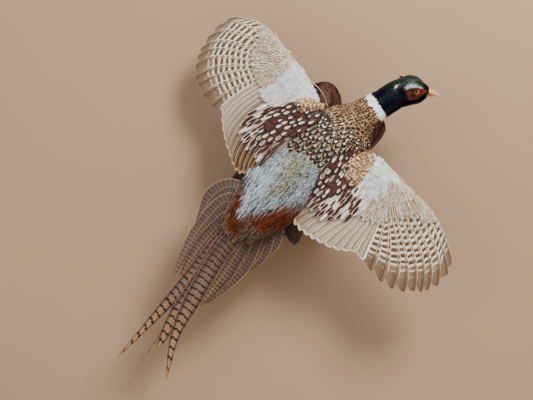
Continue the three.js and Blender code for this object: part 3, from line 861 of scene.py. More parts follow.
# %% [markdown]
# ## Flight feathers
# Each wing carries ten primaries on the hand and thirteen secondaries on the arm. They fan out: each
# one has its own curved path, given by its root at the leading edge, two places on its shaft and its
# tip. `fan` turns (feather number, share along it) into a place on the wing's surface, so a vane can
# be drawn from the path of its own shaft towards the path of its neighbour. Seen from above, a feather
# nearer the body lies over the inner vane of the next one out, so each vane is tilted a little.

# %% Paths of the feathers, from the innermost secondary to the outermost primary
FEATHER_PATHS = {
    "right": [
        [(139, -20), (47, -74), (12, -90), (-19, -112)], [(142, -22), (54, -81), (17, -99), (-22, -124)],
        [(145, -25), (61, -88), (23, -108), (-18, -135)], [(148, -27), (70, -96), (31, -118), (-11, -146)],
        [(151, -30), (79, -103), (40, -127), (-2, -157)], [(154, -33), (90, -109), (51, -136), (11, -166)],
        [(157, -35), (100, -115), (63, -145), (24, -174)], [(160, -38), (110, -119), (75, -152), (38, -181)],
        [(163, -40), (120, -122), (87, -158), (56, -190)], [(165, -43), (130, -125), (100, -161), (74, -196)],
        [(168, -45), (139, -127), (113, -163), (92, -198)],
        [(171, -48), (147, -129), (124, -167), (105, -199)],
        [(174, -50), (155, -130), (135, -172), (117, -211)],
        [(177, -53), (164, -132), (154, -183), (137, -235)],
        [(179, -54), (172, -131), (172, -190), (157, -257)],
        [(181, -56), (179, -129), (191, -196), (179, -271)],
        [(183, -57), (186, -128), (204, -198), (202, -277)],
        [(185, -58), (194, -126), (218, -197), (222, -275)],
        [(187, -59), (202, -124), (233, -196), (236, -277)],
        [(189, -61), (212, -121), (246, -191), (249, -273)],
        [(191, -62), (222, -117), (260, -184), (268, -264)],
        [(193, -63), (233, -112), (268, -169), (288, -241)],
        [(195, -64), (244, -107), (277, -161), (295, -221)]],
    "left": [
        [(32, 99), (-18, 39), (-63, -8), (-84, -31)], [(29, 104), (-24, 45), (-72, -4), (-93, -37)],
        [(26, 110), (-31, 51), (-80, 1), (-101, -42)], [(23, 115), (-37, 59), (-87, 7), (-110, -46)],
        [(20, 120), (-43, 67), (-95, 15), (-119, -47)], [(17, 125), (-48, 77), (-101, 25), (-127, -39)],
        [(14, 131), (-53, 87), (-108, 36), (-133, -25)], [(11, 136), (-57, 97), (-113, 49), (-138, -8)],
        [(8, 141), (-61, 107), (-118, 62), (-144, 9)], [(5, 146), (-64, 114), (-120, 74), (-148, 25)],
        [(2, 152), (-68, 122), (-122, 86), (-151, 42)], [(-1, 157), (-71, 129), (-121, 97), (-153, 59)],
        [(-5, 162), (-74, 136), (-122, 107), (-152, 77)], [(-6, 165), (-75, 144), (-127, 118), (-171, 87)],
        [(-8, 167), (-80, 151), (-136, 134), (-188, 107)], [(-9, 168), (-84, 158), (-145, 149), (-197, 128)],
        [(-10, 170), (-86, 164), (-147, 162), (-203, 141)],
        [(-12, 172), (-87, 172), (-149, 181), (-204, 163)],
        [(-13, 173), (-86, 182), (-145, 196), (-199, 183)],
        [(-14, 175), (-81, 191), (-141, 209), (-193, 197)],
        [(-15, 177), (-74, 204), (-125, 228), (-179, 220)],
        [(-16, 179), (-64, 213), (-110, 245), (-161, 240)],
        [(-18, 181), (-55, 224), (-93, 251), (-139, 255)]],
}

# %% The fan: from feather number and share along it to the wing
def between_nodes(grids, i, j):
    """Values between the nodes of grids of one size."""
    rows, columns = grids[0].shape
    i, j = np.clip(i, 0, rows - 1.001), np.clip(j, 0, columns - 1.001)
    i0, j0 = i.astype(int), j.astype(int)
    fi, fj = i - i0, j - j0
    return [g[i0, j0] * (1 - fi) * (1 - fj) + g[i0 + 1, j0] * fi * (1 - fj)
            + g[i0, j0 + 1] * (1 - fi) * fj + g[i0 + 1, j0 + 1] * fi * fj for g in grids]


def fan_form(side):
    """A function of (feather number, share along it) that gives (u, v) on the wing."""
    paths = np.array(FEATHER_PATHS[side], float)
    numbers, shares = np.linspace(-1.4, 23.4, 125), np.linspace(-0.06, 1.06, 57)
    low = np.clip(np.floor(numbers).astype(int), 0, len(paths) - 2)
    rows = paths[low] + (paths[low + 1] - paths[low]) * (numbers - low)[:, None, None]
    knots = np.array([0, 1 / 3, 2 / 3, 1])
    weights = np.stack([np.prod([(shares - k) / (knot - k) for k in knots if k != knot], axis=0)
                        for knot in knots])
    goal = np.einsum("ps,npc->nsc", weights, rows)
    surface = wing_surface[side]
    u = np.broadcast_to(((numbers + 0.5) / (PRIMARIES + SECONDARIES))[:, None], goal.shape[:2]).copy()
    v = np.broadcast_to(shares[None], goal.shape[:2]).copy()
    for _ in range(14):
        here = seen_flat(surface(u, v))
        du = (seen_flat(surface(u + 1e-3, v)) - here) / 1e-3
        dv = (seen_flat(surface(u, v + 1e-3)) - here) / 1e-3
        off = goal - here
        area = du[..., 0] * dv[..., 1] - du[..., 1] * dv[..., 0]
        u += np.clip((off[..., 0] * dv[..., 1] - off[..., 1] * dv[..., 0]) / area, -0.12, 0.12)
        v += np.clip((off[..., 1] * du[..., 0] - off[..., 0] * du[..., 1]) / area, -0.12, 0.12)
    left = np.abs(goal - seen_flat(surface(u, v))).max()
    print(f"{side} wing: the fan meets its paths within {left:.2f} mm")

    def read(number, share):
        return between_nodes([u, v], (number - numbers[0]) / (numbers[1] - numbers[0]),
                             (share - shares[0]) / (shares[1] - shares[0]))
    return read


fan = {side: fan_form(side) for side in WINGS}


def fan_surface(side, way, raised=0.0):
    """The upper (-1) or lower (1) face of a wing, as a function of feather number and share along it."""
    def surface(number, share):
        u, v = fan[side](number, share)
        return wing_surface[side](u, v) + np.array([0, way, 0]) * (calm_thick(u, v) / 2 + raised)[..., None]
    return surface

# %% The vane of a flight feather
def vane_outline(rows, root, shoulder, tip_from, end, power):
    """Rows of (share along, half width) for a long vane: its root, its widest place and its tip."""
    share = np.concatenate([np.linspace(0, tip_from, rows, endpoint=False),
                            1 - (1 - tip_from) * np.linspace(1, 0, 8) ** 1.5])
    wide = np.minimum(1, root + (1 - root) * share / shoulder)
    past = np.clip((share - tip_from) / (1 - tip_from), 0, 1)
    wide = wide * np.maximum(end, np.sqrt(np.clip(1 - past ** power, 0, 1)))
    return [(float(s), float(w)) for s, w in zip(share, wide)]


VANE_COLUMNS = [-1, -0.74, -0.46, -0.2, -0.05, 0, 0.16, 0.5, 0.8, 1]
PRIMARY = feather_pattern(VANE_COLUMNS, vane_outline(15, 0.7, 0.3, 0.83, 0.05, 2.0))
SECONDARY = feather_pattern(VANE_COLUMNS, vane_outline(15, 0.7, 0.3, 0.86, 0.16, 2.4))
FLIGHT_START = 0.16
# How wide the outer and the inner vane are, in steps between feathers.
STEPS = {"primaries": (0.3, 1.02), "secondaries": (0.4, 1.05)}


VANE_TILT = 0.9  # millimetres that a vane rises for each step to the next feather


def flight_feathers(side, numbers, pattern, outer, inner):
    """Vanes of one group of flight feathers, each drawn between its own path and its neighbours'."""
    x, y, z = pattern["column"], pattern["points"][:, 1], pattern["points"][:, 2]
    wide = pattern["points"][:, 0]
    count = len(numbers)
    offset = np.broadcast_to(np.where(wide < 0, wide * inner, wide * outer), (count, len(x)))
    fray = rng.normal(0, 0.02, offset.shape) * (np.abs(x) > 0.9) * (y > 0.2)
    number = numbers[:, None] + offset + fray
    share = np.broadcast_to(FLIGHT_START + (1 - FLIGHT_START) * y, offset.shape)
    surface = fan_surface(side, -1.0, -REAR_THICK / 2)
    points = surface(number, share)
    out = slopes(surface, number, share)[2]
    out = out * -np.sign(out[..., 1:2])
    shaft = np.exp(-(x / 0.05) ** 2) * blend(0.95, 0.4, y)
    camber = 0.7 * (1 - np.clip(np.abs(x), 0, 1) ** 2)
    body = two_sides(z, 0.2 + shaft + camber, -0.2 - 0.4 * shaft + camber)
    ripple = 0.12 * np.sin(y * 37 + numbers[:, None] * 4) * np.abs(x)
    points = points + out * (body + VANE_TILT * offset + ripple)[..., None]
    line = np.linspace(FLIGHT_START, 1, 40)
    shafts = surface(np.repeat(numbers[:, None], 40, 1), np.broadcast_to(line, (count, 40)))
    gone = np.cumsum(np.linalg.norm(np.diff(shafts, axis=1), axis=2), axis=1)
    share_of_line = (line - FLIGHT_START) / (1 - FLIGHT_START)
    run = np.stack([np.interp(y, share_of_line, np.concatenate([[0], g])) for g in gone])
    across = offset * np.linalg.norm(slopes(surface, number, share, 0.02)[0], axis=-1)
    return points, {"Along": run * MM, "Across": across * MM, "Step": offset,
                    "Tone": rng.uniform(0, 1, count)}


def map_in_row(count, row, rows):
    """Places on the bake map for a row of big feathers."""
    column = (np.arange(count) + 0.5) / count
    full = np.full(count, 1.0)
    return np.stack([column, full * (row + 0.5) / rows, full / count, full / rows], -1)

# %% Colours of the primaries
paint = Paint("barred primary vane", Roughness=0.6, Specular_IOR_Level=0.35)
x, y = paint.vane()
run, off, step = (paint.value(key) for key in ("Along", "Across", "Step"))
tone, gap = paint.value("Tone"), abs(off)
drift = paint.noise(60.0, 2.0) - 0.5
ragged = paint.noise(420.0, 2.0) - 0.5
beat = paint.math("FRACT", run * 80.0 + step * 0.35 + drift * 0.6 + ragged * 0.3 + tone * 0.8)
band = beat.step(0.4, 0.52) * beat.step(1.0, 0.92)
middle = (y + drift * 0.1).step(0.22, 0.3) * (y + drift * 0.1).step(0.82, 0.74)
inner = (step + ragged * 0.1).step(-0.78, -0.7) * (step + ragged * 0.08).step(-0.04, -0.12)
outer = step.step(0.02, 0.04) * step.step(0.25, 0.2)
fine = barbs(paint, x, y, 2.0)
tan = paint.mix(fine, rgb(112, 90, 70), rgb(172, 148, 122))
# The inner vane is darker next to the shaft: a painted shadow.
tan = tan.covered(step.step(-0.5, -0.1) * step.step(0.02, 0.0) * 0.5, 96, 74, 54)
cream = paint.mix(fine, rgb(184, 162, 132), rgb(238, 226, 206))
brown = paint.mix(fine, rgb(76, 58, 42), rgb(128, 102, 78))
ground = paint.mix((y + drift * 0.12 + ragged * 0.1).step(0.84, 0.72), tan, cream)
marks = beat.step(0.34, 0.24) * beat.step(0.02, 0.1) * (y + ragged * 0.2).step(0.88, 0.78)
ground = ground.covered(marks * inner, 250, 244, 232)
colour = paint.mix(middle * band * inner.larger(outer), ground, brown)
colour = paint.mix(y.step(0.24, 0.06) * 0.6, colour, tan)
rim = x.step(0.76, 0.86).larger(x.step(-0.92, -0.98))
colour = colour.covered(rim * 0.8, 236, 220, 194)
# A thin painted shadow runs beside the shaft on the inner vane.
shaft_shadow = gap.step(0.0018, 0.0012) * off.step(0.0, -0.0004)
colour = colour.covered(shaft_shadow * 0.6, 84, 62, 44)
shaft = paint.mix(y.step(0.5, 0.8), rgb(226, 206, 176), rgb(122, 92, 64))
colour = paint.mix(gap.step(0.0009, 0.0005) * 0.9, colour, shaft)
primary_vanes = paint.finished(colour, fine, 0.0006, 0.6)

# %% Colours of the secondaries
paint = Paint("striped secondary vane", Roughness=0.62, Specular_IOR_Level=0.35)
x, y = paint.vane()
off, step, tone = (paint.value(key) for key in ("Across", "Step", "Tone"))
brownness, gap = paint.value("Brown"), abs(off)
drift = paint.noise(90.0, 3.0) - 0.5
fine = barbs(paint, x, y, 2.0)
tan = paint.mix(fine, rgb(142, 120, 94), rgb(214, 197, 173))
dark = paint.mix(fine, rgb(42, 28, 17), rgb(100, 73, 46))
colour = paint.mix(brownness, tan, dark)
pale = paint.mix(brownness, rgb(252, 245, 230), rgb(198, 166, 122))
edge = (step + drift * 0.05).step(0.2, 0.25)
colour = paint.mix(edge, colour, pale)
beside = (step + drift * 0.05).step(0.1, 0.16) * (step + drift * 0.05).step(0.22, 0.18)
under = (step + drift * 0.1).step(-0.3, -0.66)
shadow = paint.mix(brownness, rgb(104, 82, 60), rgb(38, 27, 18))
colour = paint.mix((beside * 0.6).larger(under * 0.8), colour, shadow)
colour = paint.mix(gap.step(0.0009, 0.0005) * 0.7, colour, pale)
fleck = paint.noise(1.6, 2.0, at=paint.join(off * 500.0, y * 22.0, tone * 30.0)).step(0.6, 0.68)
colour = colour.covered(fleck * 0.5, 108, 78, 52)
colour = paint.mix((y + abs(x) * 0.06).step(0.97, 1.0), colour, pale)
secondary_vanes = paint.finished(colour, fine, 0.0006, 0.6)

# %% Lay both groups of flight feathers
BROWN_RUN = {"right": (1.25, 4.6), "left": (1.9, 5.5)}  # the feathers are brown near the body
for side in WINGS:
    for group, vanes, pattern, first, count in (
            ("primaries", primary_vanes, PRIMARY, SECONDARIES, PRIMARIES),
            ("secondaries", secondary_vanes, SECONDARY, 0, SECONDARIES)):
        numbers = first + np.arange(count, dtype=float)
        points, facts = flight_feathers(side, numbers, pattern, *STEPS[group])
        start, run = BROWN_RUN[side]
        facts["Brown"] = np.clip(start - numbers / run, 0, 1)
        feather_piece(f"{group}_{side}", [(pattern, points, map_in_row(count, 0, 1), facts)],
                      vanes, [f"wing_{side}_{group}"])

# %% [markdown]
# ## Tail
# Eleven long feathers fan out from the rump and lie on each other, the middle pair on top. Their
# vanes are barred with black and fringed with a purplish tone, and the shafts are pale.

# %% Tail feathers
TAIL = [
    ([(-104, -80), (-141, -72), (-173, -90), (-189, -121), (-208, -163)], 17, 10, 0.6),
    ([(-110, -98), (-149, -103), (-185, -139), (-216, -182), (-252, -252)], 16, 8, 0.6),
    ([(-113, -113), (-155, -145), (-188, -180), (-214, -214), (-236, -250)], 16, 6, 0.6),
    ([(-115, -129), (-161, -180), (-220, -255), (-292, -335), (-365, -414)], 15, 3, 0.9),
    ([(-111, -141), (-153, -188), (-202, -265), (-252, -335), (-280, -391)], 18, 1, 0.5),
    ([(-117, -147), (-167, -212), (-220, -291), (-277, -365), (-317, -424)], 3, 4, 0.6),
    ([(-103, -144), (-153, -198), (-208, -289), (-246, -366), (-265, -457)], 18, 0, 0.9),
    ([(-94, -152), (-125, -204), (-149, -243), (-173, -275), (-197, -307)], 18, 2, 0.6),
    ([(-82, -156), (-96, -192), (-114, -227), (-141, -261), (-183, -301)], 17, 5, 0.6),
    ([(-66, -149), (-66, -176), (-72, -196), (-86, -220), (-106, -238)], 15, 7, 0.6),
    ([(-51, -141), (-47, -165), (-52, -182), (-62, -198), (-78, -216)], 14, 9, 0.6)]
TAIL_ROOT, TAIL_TOP, TAIL_DROP, TAIL_LAYER = (-109, -140), -143, 0.11, 1.9
TAIL_VANE = feather_pattern([-1, -0.8, -0.5, -0.22, -0.06, 0, 0.06, 0.22, 0.5, 0.8, 1],
                            [(s, 1.0) for s in np.linspace(0, 1, 31)])


def tail_depth(x, z, layer):
    return TAIL_TOP + layer * TAIL_LAYER + TAIL_DROP * np.hypot(x - TAIL_ROOT[0], z - TAIL_ROOT[1])


def tail_vane(line, half, layer, taper):
    x, t, z = TAIL_VANE["column"], TAIL_VANE["points"][:, 1], TAIL_VANE["points"][:, 2]
    wall_line = np.array([(a, 0, b) for a, b in line], float)
    place = along(wall_line, t)
    ahead = unit(along(wall_line, t + 1e-3) - along(wall_line, t - 1e-3))
    side = np.stack([ahead[:, 2], 0 * t, -ahead[:, 0]], -1)
    wide = half * np.minimum(1, 0.75 + 1.5 * t) * np.clip((1 - t) / 0.5 + 0.01, 0, 1) ** taper
    rows = np.round(t * 30).astype(int)
    ragged = 1 + rng.normal(0, 0.05, 31)[rows] * (np.abs(x) > 0.9)
    place = place + side * (x * wide * ragged)[:, None]
    place[:, 1] = tail_depth(place[:, 0], place[:, 2], layer)
    shaft = np.exp(-(x / 0.06) ** 2) * blend(1.0, 0.45, t)
    curve = 1.1 * (1 - x ** 2) - 0.5 + 0.25 * np.sin(t * 31 + layer) * np.abs(x)
    body = two_sides(z, 0.22 + shaft, -0.22 - 0.3 * shaft) + curve * 0.5
    place[:, 1] -= body
    gone = np.linalg.norm(np.diff(along(wall_line, np.linspace(0, 1, 60)), axis=0), axis=1)
    length = np.interp(t, np.linspace(0, 1, 60), np.concatenate([[0], np.cumsum(gone)]))
    return place, length * MM, x * wide * MM

# %% Colours of the tail
paint = Paint("barred tail vane", Roughness=0.55, Specular_IOR_Level=0.4)
x, y = paint.vane()
run, off, tone = paint.value("Along"), paint.value("Across"), paint.value("Tone")
marks, fringe = paint.value("Bars"), paint.value("Fringe")
drift = paint.noise(45.0, 3.0) - 0.5
side_run = abs(off)
other_vane = x.step(-0.04, 0.04) * 0.14
beat = paint.value("Rate") * run - run ** 2.0 * 90.0 - side_run * 7.0 + drift * 0.5 + tone + other_vane
beat = paint.math("FRACT", beat)
bar = beat.step(0.59, 0.64) * beat.step(0.92, 0.87)
fine = barbs(paint, x, y, 5.0)
tan = paint.mix(fine, rgb(76, 57, 47), rgb(160, 134, 112))
tan = tan.covered(run.step(0.17, 0.05) * 0.55, 60, 40, 34)
speckle = paint.noise(420.0, 3.0).step(0.52, 0.62)
tan = tan.covered(speckle * 0.45, 54, 40, 32)
tan = tan.covered(run.step(0.16, 0.34) * 0.55, 206, 160, 112)
plum = paint.mix(fine, rgb(60, 28, 24), rgb(108, 68, 58))
out_share = abs(x)
colour = paint.mix((out_share + drift * 0.3).step(0.46, 0.68) * fringe, tan, plum)
colour = colour.covered(bar * marks * out_share.step(1.0, 0.86), 9, 6, 6)
mottle = paint.math("SINE", run * 900.0 + drift * 12.0 + side_run * 500.0).step(0.2, 0.7)
colour = colour.covered(mottle * (1 - marks) * 0.6, 36, 26, 22)
colour = colour.covered(out_share.step(0.88, 0.98) * (1 - marks * 0.7), 196, 170, 138)
colour = colour.covered(side_run.step(0.0008, 0.0004) * 0.35, 188, 152, 108)
tail_vanes = paint.finished(colour, fine, 0.0006, 0.6)

# %% Eleven tail feathers
for i, (line, half, layer, taper) in enumerate(TAIL, 1):
    points, run, off = tail_vane(line, half, layer, taper)
    middle = i in (4, 5, 6, 7)
    facts = {"Along": run[None], "Across": off[None], "Tone": rng.uniform(0, 1, 1),
             "Bars": np.array([1.0 if middle else 0.9 if i in (3, 8) else 0.75]),
             "Rate": np.array([104.0 if middle else 150.0]),
             "Fringe": np.array([0.9 if middle or i in (3, 8) else 0.4])}
    feather_piece(f"tail_{i:02d}", [(TAIL_VANE, points[None], map_in_row(1, 0, 1), facts)],
                  tail_vanes, [f"tail_feather_{i:02d}"])

# %% [markdown]
# ## A calm surface over body, wings and tail
# Some feathers cross from one form to another: from the shoulder to the wing, and from the rump to the
# tail. They are laid like a cloth: the height of the forms below is read on a fine grid, calmed, and
# used as one smooth surface.

# %% The height of everything so far, calmed
def arm_side(side, top):
    """The upper or lower face of a wing's arm."""
    way = np.array([0, -1.0 if top else 1.0, 0])

    def surface(u, v):
        return wing_surface[side](u, v) + way * (calm_thick(u, v) / 2)[..., None]
    return surface


GRID_X, GRID_Z, GRID_STEP = (-170, 200), (-235, 120), 3.0
xs, zs = np.arange(*GRID_X, GRID_STEP), np.arange(*GRID_Z, GRID_STEP)
DEEPEST, CALM_PASSES = -95.0, 10
height = np.full((len(xs), len(zs)), DEEPEST)
for i, gx in enumerate(xs):
    for j, gz in enumerate(zs):
        hit = skin_tree.ray_cast(Vector((gx, -400, gz)), Vector((0, 1, 0)))
        if hit[0] is not None:
            height[i, j] = hit[0].y
for side in WINGS:
    u, v = np.meshgrid(np.linspace(0, 1, 160), np.linspace(0, 1, 160), indexing="ij")
    place = arm_side(side, True)(u.ravel(), v.ravel())
    i = np.round((place[:, 0] - GRID_X[0]) / GRID_STEP).astype(int)
    j = np.round((place[:, 2] - GRID_Z[0]) / GRID_STEP).astype(int)
    ok = (i >= 0) & (i < len(xs)) & (j >= 0) & (j < len(zs))
    np.minimum.at(height, (i[ok], j[ok]), place[ok, 1] - 1.5)
TAIL_HALF, COVER_RISE = 62, 15.5  # half the width of the tail's root, and how far its coverts rise
TAIL_STARTS = -191  # x + z is less over the tail
for i, gx in enumerate(xs):
    for j, gz in enumerate(zs):
        # The distance from the tail's middle line.
        near = abs((gx - TAIL_ROOT[0]) * 0.77 - (gz - TAIL_ROOT[1]) * 0.64)
        if gx + gz < TAIL_STARTS and near < TAIL_HALF:
            hump = 1 - (near / TAIL_HALF) ** 2
            height[i, j] = min(height[i, j], tail_depth(gx, gz, 0) + 14 - COVER_RISE * hump)
for _ in range(CALM_PASSES):
    padded = np.pad(height, 1, mode="edge")
    calm = (padded[:-2, 1:-1] + padded[2:, 1:-1] + padded[1:-1, :-2] + padded[1:-1, 2:]) / 4
    height = np.minimum(calm, height + 0.3)

# %% Feathers over the calm surface
def cloth(a, b):
    """The calm surface: a is x along the wall, b is z, both in millimetres."""
    y, = between_nodes([height], (a - GRID_X[0]) / GRID_STEP, (b - GRID_Z[0]) / GRID_STEP)
    return np.stack([a, y, b], -1)


def cloth_roots(outline, flow, row_gap, column_gap, reach):
    """Staggered roots in rows square to the flow, for feathers that show inside an outline: the place
    that counts is a reach further on than the root."""
    ring = np.array(outline, float)
    ahead = np.array([math.cos(flow), math.sin(flow)])
    side = np.array([-ahead[1], ahead[0]])
    run, off = ring @ ahead - reach, ring @ side
    rows, columns = np.arange(run.min(), run.max(), row_gap), np.arange(off.min(), off.max(), column_gap)
    found = []
    for i, r in enumerate(rows):
        for j, c in enumerate(columns):
            place = ahead * r + side * (c + (i % 2) * column_gap / 2)
            found.append((*place, (j + 0.5) / len(columns), (i + 0.5) / len(rows), 1 / len(columns),
                          1 / len(rows)))
    found = np.array(found)
    found[:, :2] += rng.uniform(-0.15, 0.15, (len(found), 2)) * [row_gap, column_gap]
    shown = cloth(*(found[:, :2] + ahead * reach).T)
    keep = inside(shown, outline) > 0
    return {"a": found[keep, 0], "b": found[keep, 1], "map": found[keep, 2:]}, shown[keep]


def lay_cloth(roots, pattern, length, half, lift, flow, base, arch=0.2):
    """Feathers over the calm surface, each running along its own flow angle."""
    count = len(roots["a"])
    length, half, lift, flow, base = columns_of(count, length, half, lift, flow, base)
    x, y, z = pattern["points"].T[:, None, :]
    flow = flow + rng.uniform(-0.1, 0.1, (count, 1))
    length = length * rng.uniform(0.9, 1.1, (count, 1))
    across, ahead = x * half, y * length
    a = roots["a"][:, None] + ahead * np.cos(flow) + across * np.sin(flow)
    b = roots["b"][:, None] + ahead * np.sin(flow) - across * np.cos(flow)
    points = cloth(a, b)
    up = slopes(cloth, a, b, 2.0)[2]
    up = up * -np.sign(up[..., 1:2])
    inner = 1 - (np.abs(x) / np.abs(x).max()) ** 2
    rise = base + lift * y + two_sides(z, inner * arch * half, inner * arch * half * 0.5)
    return points + up * rise[..., None]

# %% [markdown]
# ## The back: mantle, lower back and rump
# The mantle feathers are broad and golden, each with a black mark and, lower down, a pale drop with a
# black rim. The lower back is blue-grey with an olive middle, in loose narrow feathers like hair. The
# rump is rust, and its long wisps run out over the root of the tail.

# %% Feathers of the mantle
paint = Paint("golden mantle vane", Roughness=0.62, Specular_IOR_Level=0.35, Sheen_Weight=0.1)
x, y = paint.vane()
tone, kind = paint.value("Tone"), paint.value("Kind")
wide = abs(x)
streak = barbs(paint, x, y)
wander = paint.noise(230.0, 2.0) - 0.5
golden = paint.mix(tone, rgb(148, 108, 70), rgb(234, 194, 144))
golden = golden.covered(streak.step(0.42, 0.7) * 0.6, 96, 60, 32)
spotted = (kind + tone * 0.16).step(0.36, 0.46)
# How far a place lies past the rim of a U that opens towards the root.
past = y - 0.97 + wide * wide * (0.62 - kind * 0.2) + wander * 0.24
band = past.step(0.06, 0.0)
mark = drop_vane(paint, x, y, 0.74, 0.5, 0.2, 0.26).step(1.3, 1.1)
worn = paint.mix((band * spotted).larger(mark), golden, rgb(14, 10, 8))
olive = paint.mix(streak, rgb(84, 74, 54), rgb(158, 148, 126))
in_drop = past.step(-0.26, -0.32) * (wide - kind * 0.24 - tone * 0.06).step(0.16, 0.08)
white = paint.mix(tone, rgb(204, 184, 152), rgb(250, 244, 230))
white = paint.mix(past.step(-0.3, -0.38) * kind.step(0.66, 0.86), white, olive)
low_end = (past + kind * 0.2).step(-0.5, -0.4)
worn = paint.mix(in_drop * low_end * spotted, worn, white)
worn = worn.covered(wide.step(0.76, 0.9) * 0.8, 26, 17, 11)
mantle_vanes = paint.finished(worn, streak, 0.0006, 0.5)

# %% Roots of the mantle
trunk_roots = body_roots(trunk_form, 9.0, 0.0, 8.4, 8.8)
trunk_at = trunk_form(trunk_roots["a"], trunk_roots["b"])
trunk_tips = tips_of(trunk_form, trunk_roots, 11)
trunk_up = np.sin(trunk_roots["b"])
neck_roots = body_roots(neck_form, 3.42, 0.6, 5.2, 6.0)
neck_at = neck_form(neck_roots["a"], neck_roots["b"])
neck_tips = tips_of(neck_form, neck_roots, 7)
neck_up = np.sin(neck_roots["b"])
trunk_open, neck_open = over_skin(trunk_at), over_skin(neck_at)
in_mantle = trunk_open & (trunk_up > -0.15) & (inside(trunk_tips, ZONES["mantle"]) > 0)
neck_mantle = neck_open & (neck_up > -0.35) & (inside(neck_tips, ZONES["breast"]) < 0)


def down_mantle(points):
    """0 in the upper mantle and 1 at its lower edge."""
    return smooth(122, 20, seen_flat(points) @ np.array([0.55, 0.84]))

# %% Lay the mantle
def mantle_part(surface, roots, tips, length, half, speckled=0.0):
    down = np.maximum(down_mantle(tips), speckled)
    count = len(tips)
    grow = blend(0.85, 1.15, down)
    laid = lay(surface, roots, LARGE, length * grow, half * grow, length * 0.13, tree=skin_tree,
               base=0.4, arch=0.2, sway=0.16)
    return LARGE, laid, roots["map"], {"Tone": shade(count),
                                       "Kind": np.clip(down + rng.uniform(-0.15, 0.15, count), 0, 1)}


# Black and white ones lie beside the collar on its left, and the lowest ones are bigger.
beside_collar = 0.8 * smooth(2.75, 2.95, neck_roots["a"]) * smooth(-0.3, -0.55, np.cos(neck_roots["b"]))
LOW_MANTLE = 0.62
low_roots = body_roots(trunk_form, 7.4, 0.0, 10.6, 10.4)
low_at, low_tips = trunk_form(low_roots["a"], low_roots["b"]), tips_of(trunk_form, low_roots, 13)
low_mantle = over_skin(low_at) & (np.sin(low_roots["b"]) > -0.15) & (inside(low_tips, ZONES["mantle"]) > 0)
low_mantle &= down_mantle(low_tips) > LOW_MANTLE
high_mantle = in_mantle & (down_mantle(trunk_tips) <= LOW_MANTLE + 0.04)
parts = [mantle_part(trunk_form, some(low_roots, low_mantle), low_tips[low_mantle], 20, 6.3),
         mantle_part(trunk_form, some(trunk_roots, high_mantle), trunk_tips[high_mantle], 18, 5.6),
         mantle_part(neck_form, some(neck_roots, neck_mantle), neck_tips[neck_mantle], 12.5, 3.9,
                     beside_collar[neck_mantle])]
feather_piece("mantle_feathers", share_map(parts), mantle_vanes)

# %% Loose feathers of the lower back
paint = Paint("loose back vane", Roughness=0.75, Specular_IOR_Level=0.15)
x, y = paint.vane()
base, tone, bars = paint.colour("Base"), paint.value("Tone"), paint.value("Bars")
fleck = paint.noise(1.7, 2.0, at=paint.join(x * 1.2, y * 5.0, tone * 90.0))
seen = paint.mix(fleck.step(0.55, 0.63) * bars, base, rgb(30, 30, 30))
seen = seen.covered(fleck.step(0.43, 0.35) * bars * 0.8, 238, 241, 241)
seen = seen.covered(barbs(paint, x, y).step(0.5, 0.8) * 0.3, 40, 32, 26)
loose_vanes = paint.finished(seen, barbs(paint, x, y), 0.0005, 0.5)


def back_colours(points):
    """Base colour and strength of the bars for places on the lower back and the rump."""
    count = len(points)
    vary = shade(count)[:, None]
    blue = tints((50, 59, 67), (211, 223, 233), vary)
    olive = tints((56, 54, 32), (200, 198, 170), vary)
    rust = tints((46, 19, 4), (122, 62, 23), vary)
    brown = tints((42, 28, 16), (126, 102, 76), vary)
    jitter = points + rng.uniform(-6, 6, points.shape)
    olive_share, rump_share = (share_of(jitter, zone, 8)[:, None] for zone in ("olive", "rump"))
    rust_share = np.maximum(share_of(jitter, "left rust", 5), share_of(jitter, "right rust", 5))[:, None]
    flat = seen_flat(points)
    dim = smooth(-35, 15, flat[:, 0] - flat[:, 1] - 20)[:, None]
    colour = blend(blue, olive, olive_share) * blend(1.0, 0.6, dim)
    colour = blend(blend(colour, brown, rump_share), rust, rust_share)
    return colour, 0.85 * (1 - np.maximum(rust_share, rump_share * 0.7))[:, 0]


hair_roots = body_roots(trunk_form, 6.6, 0.9, 3.6, 3.0)
hair_at = trunk_form(hair_roots["a"], hair_roots["b"])
hair_tips = tips_of(trunk_form, hair_roots, 12)
in_back = over_skin(hair_at) & (np.sin(hair_roots["b"]) > -0.15) & (inside(hair_tips, ZONES["mantle"]) < 4)
hair_roots, hair_tips = some(hair_roots, in_back), hair_tips[in_back]
colour, bars = back_colours(hair_tips)
count = len(hair_tips)
laid = lay(trunk_form, hair_roots, HAIRY, rng.uniform(17, 26, count), rng.uniform(1.3, 2.1, count), 2.4,
           tree=skin_tree, base=0.5, arch=0.25, yaw=rng.uniform(-0.5, 0.5, count))
coat("back_feathers", HAIRY, laid, hair_roots, loose_vanes, "body_feathers", Base=colour, Bars=bars)

# %% Wisps of the rump over the root of the tail
RUMP = [(-92, -42), (-50, -70), (0, -88), (-12, -112), (-14, -135), (-25, -154), (-56, -162), (-96, -182),
        (-128, -172),
        (-152, -150), (-152, -126), (-138, -100), (-126, -76), (-112, -50)]
rump_roots, shown = cloth_roots(RUMP, -2.24, 4.2, 3.6, reach=16)
count = len(shown)
across = smooth(-60, 60, seen_flat(shown) @ np.array([0.77, -0.64]))
colour, bars = back_colours(shown)
length, half = rng.uniform(22, 32, count), rng.uniform(1.6, 2.4, count)
flow = blend(-1.98, -2.5, across) + rng.uniform(-0.14, 0.14, count)
laid = lay_cloth(rump_roots, HAIRY, length, half, 1.8, flow, base=2.4, arch=0.3)
coat("rump_feathers", HAIRY, laid, rump_roots, loose_vanes, "body_feathers", Base=colour, Bars=bars * 0.8)

# %% [markdown]
# ## Coverts
# Rows of small feathers cover the arm and the roots of the flight feathers, each row over the next, and
# all of them run along the same fan. Near the leading edge they are short and blue-grey. Behind them
# come longer cream ones with tan lines, and over the primaries they are narrow. The underside gets
# plain pale rows.

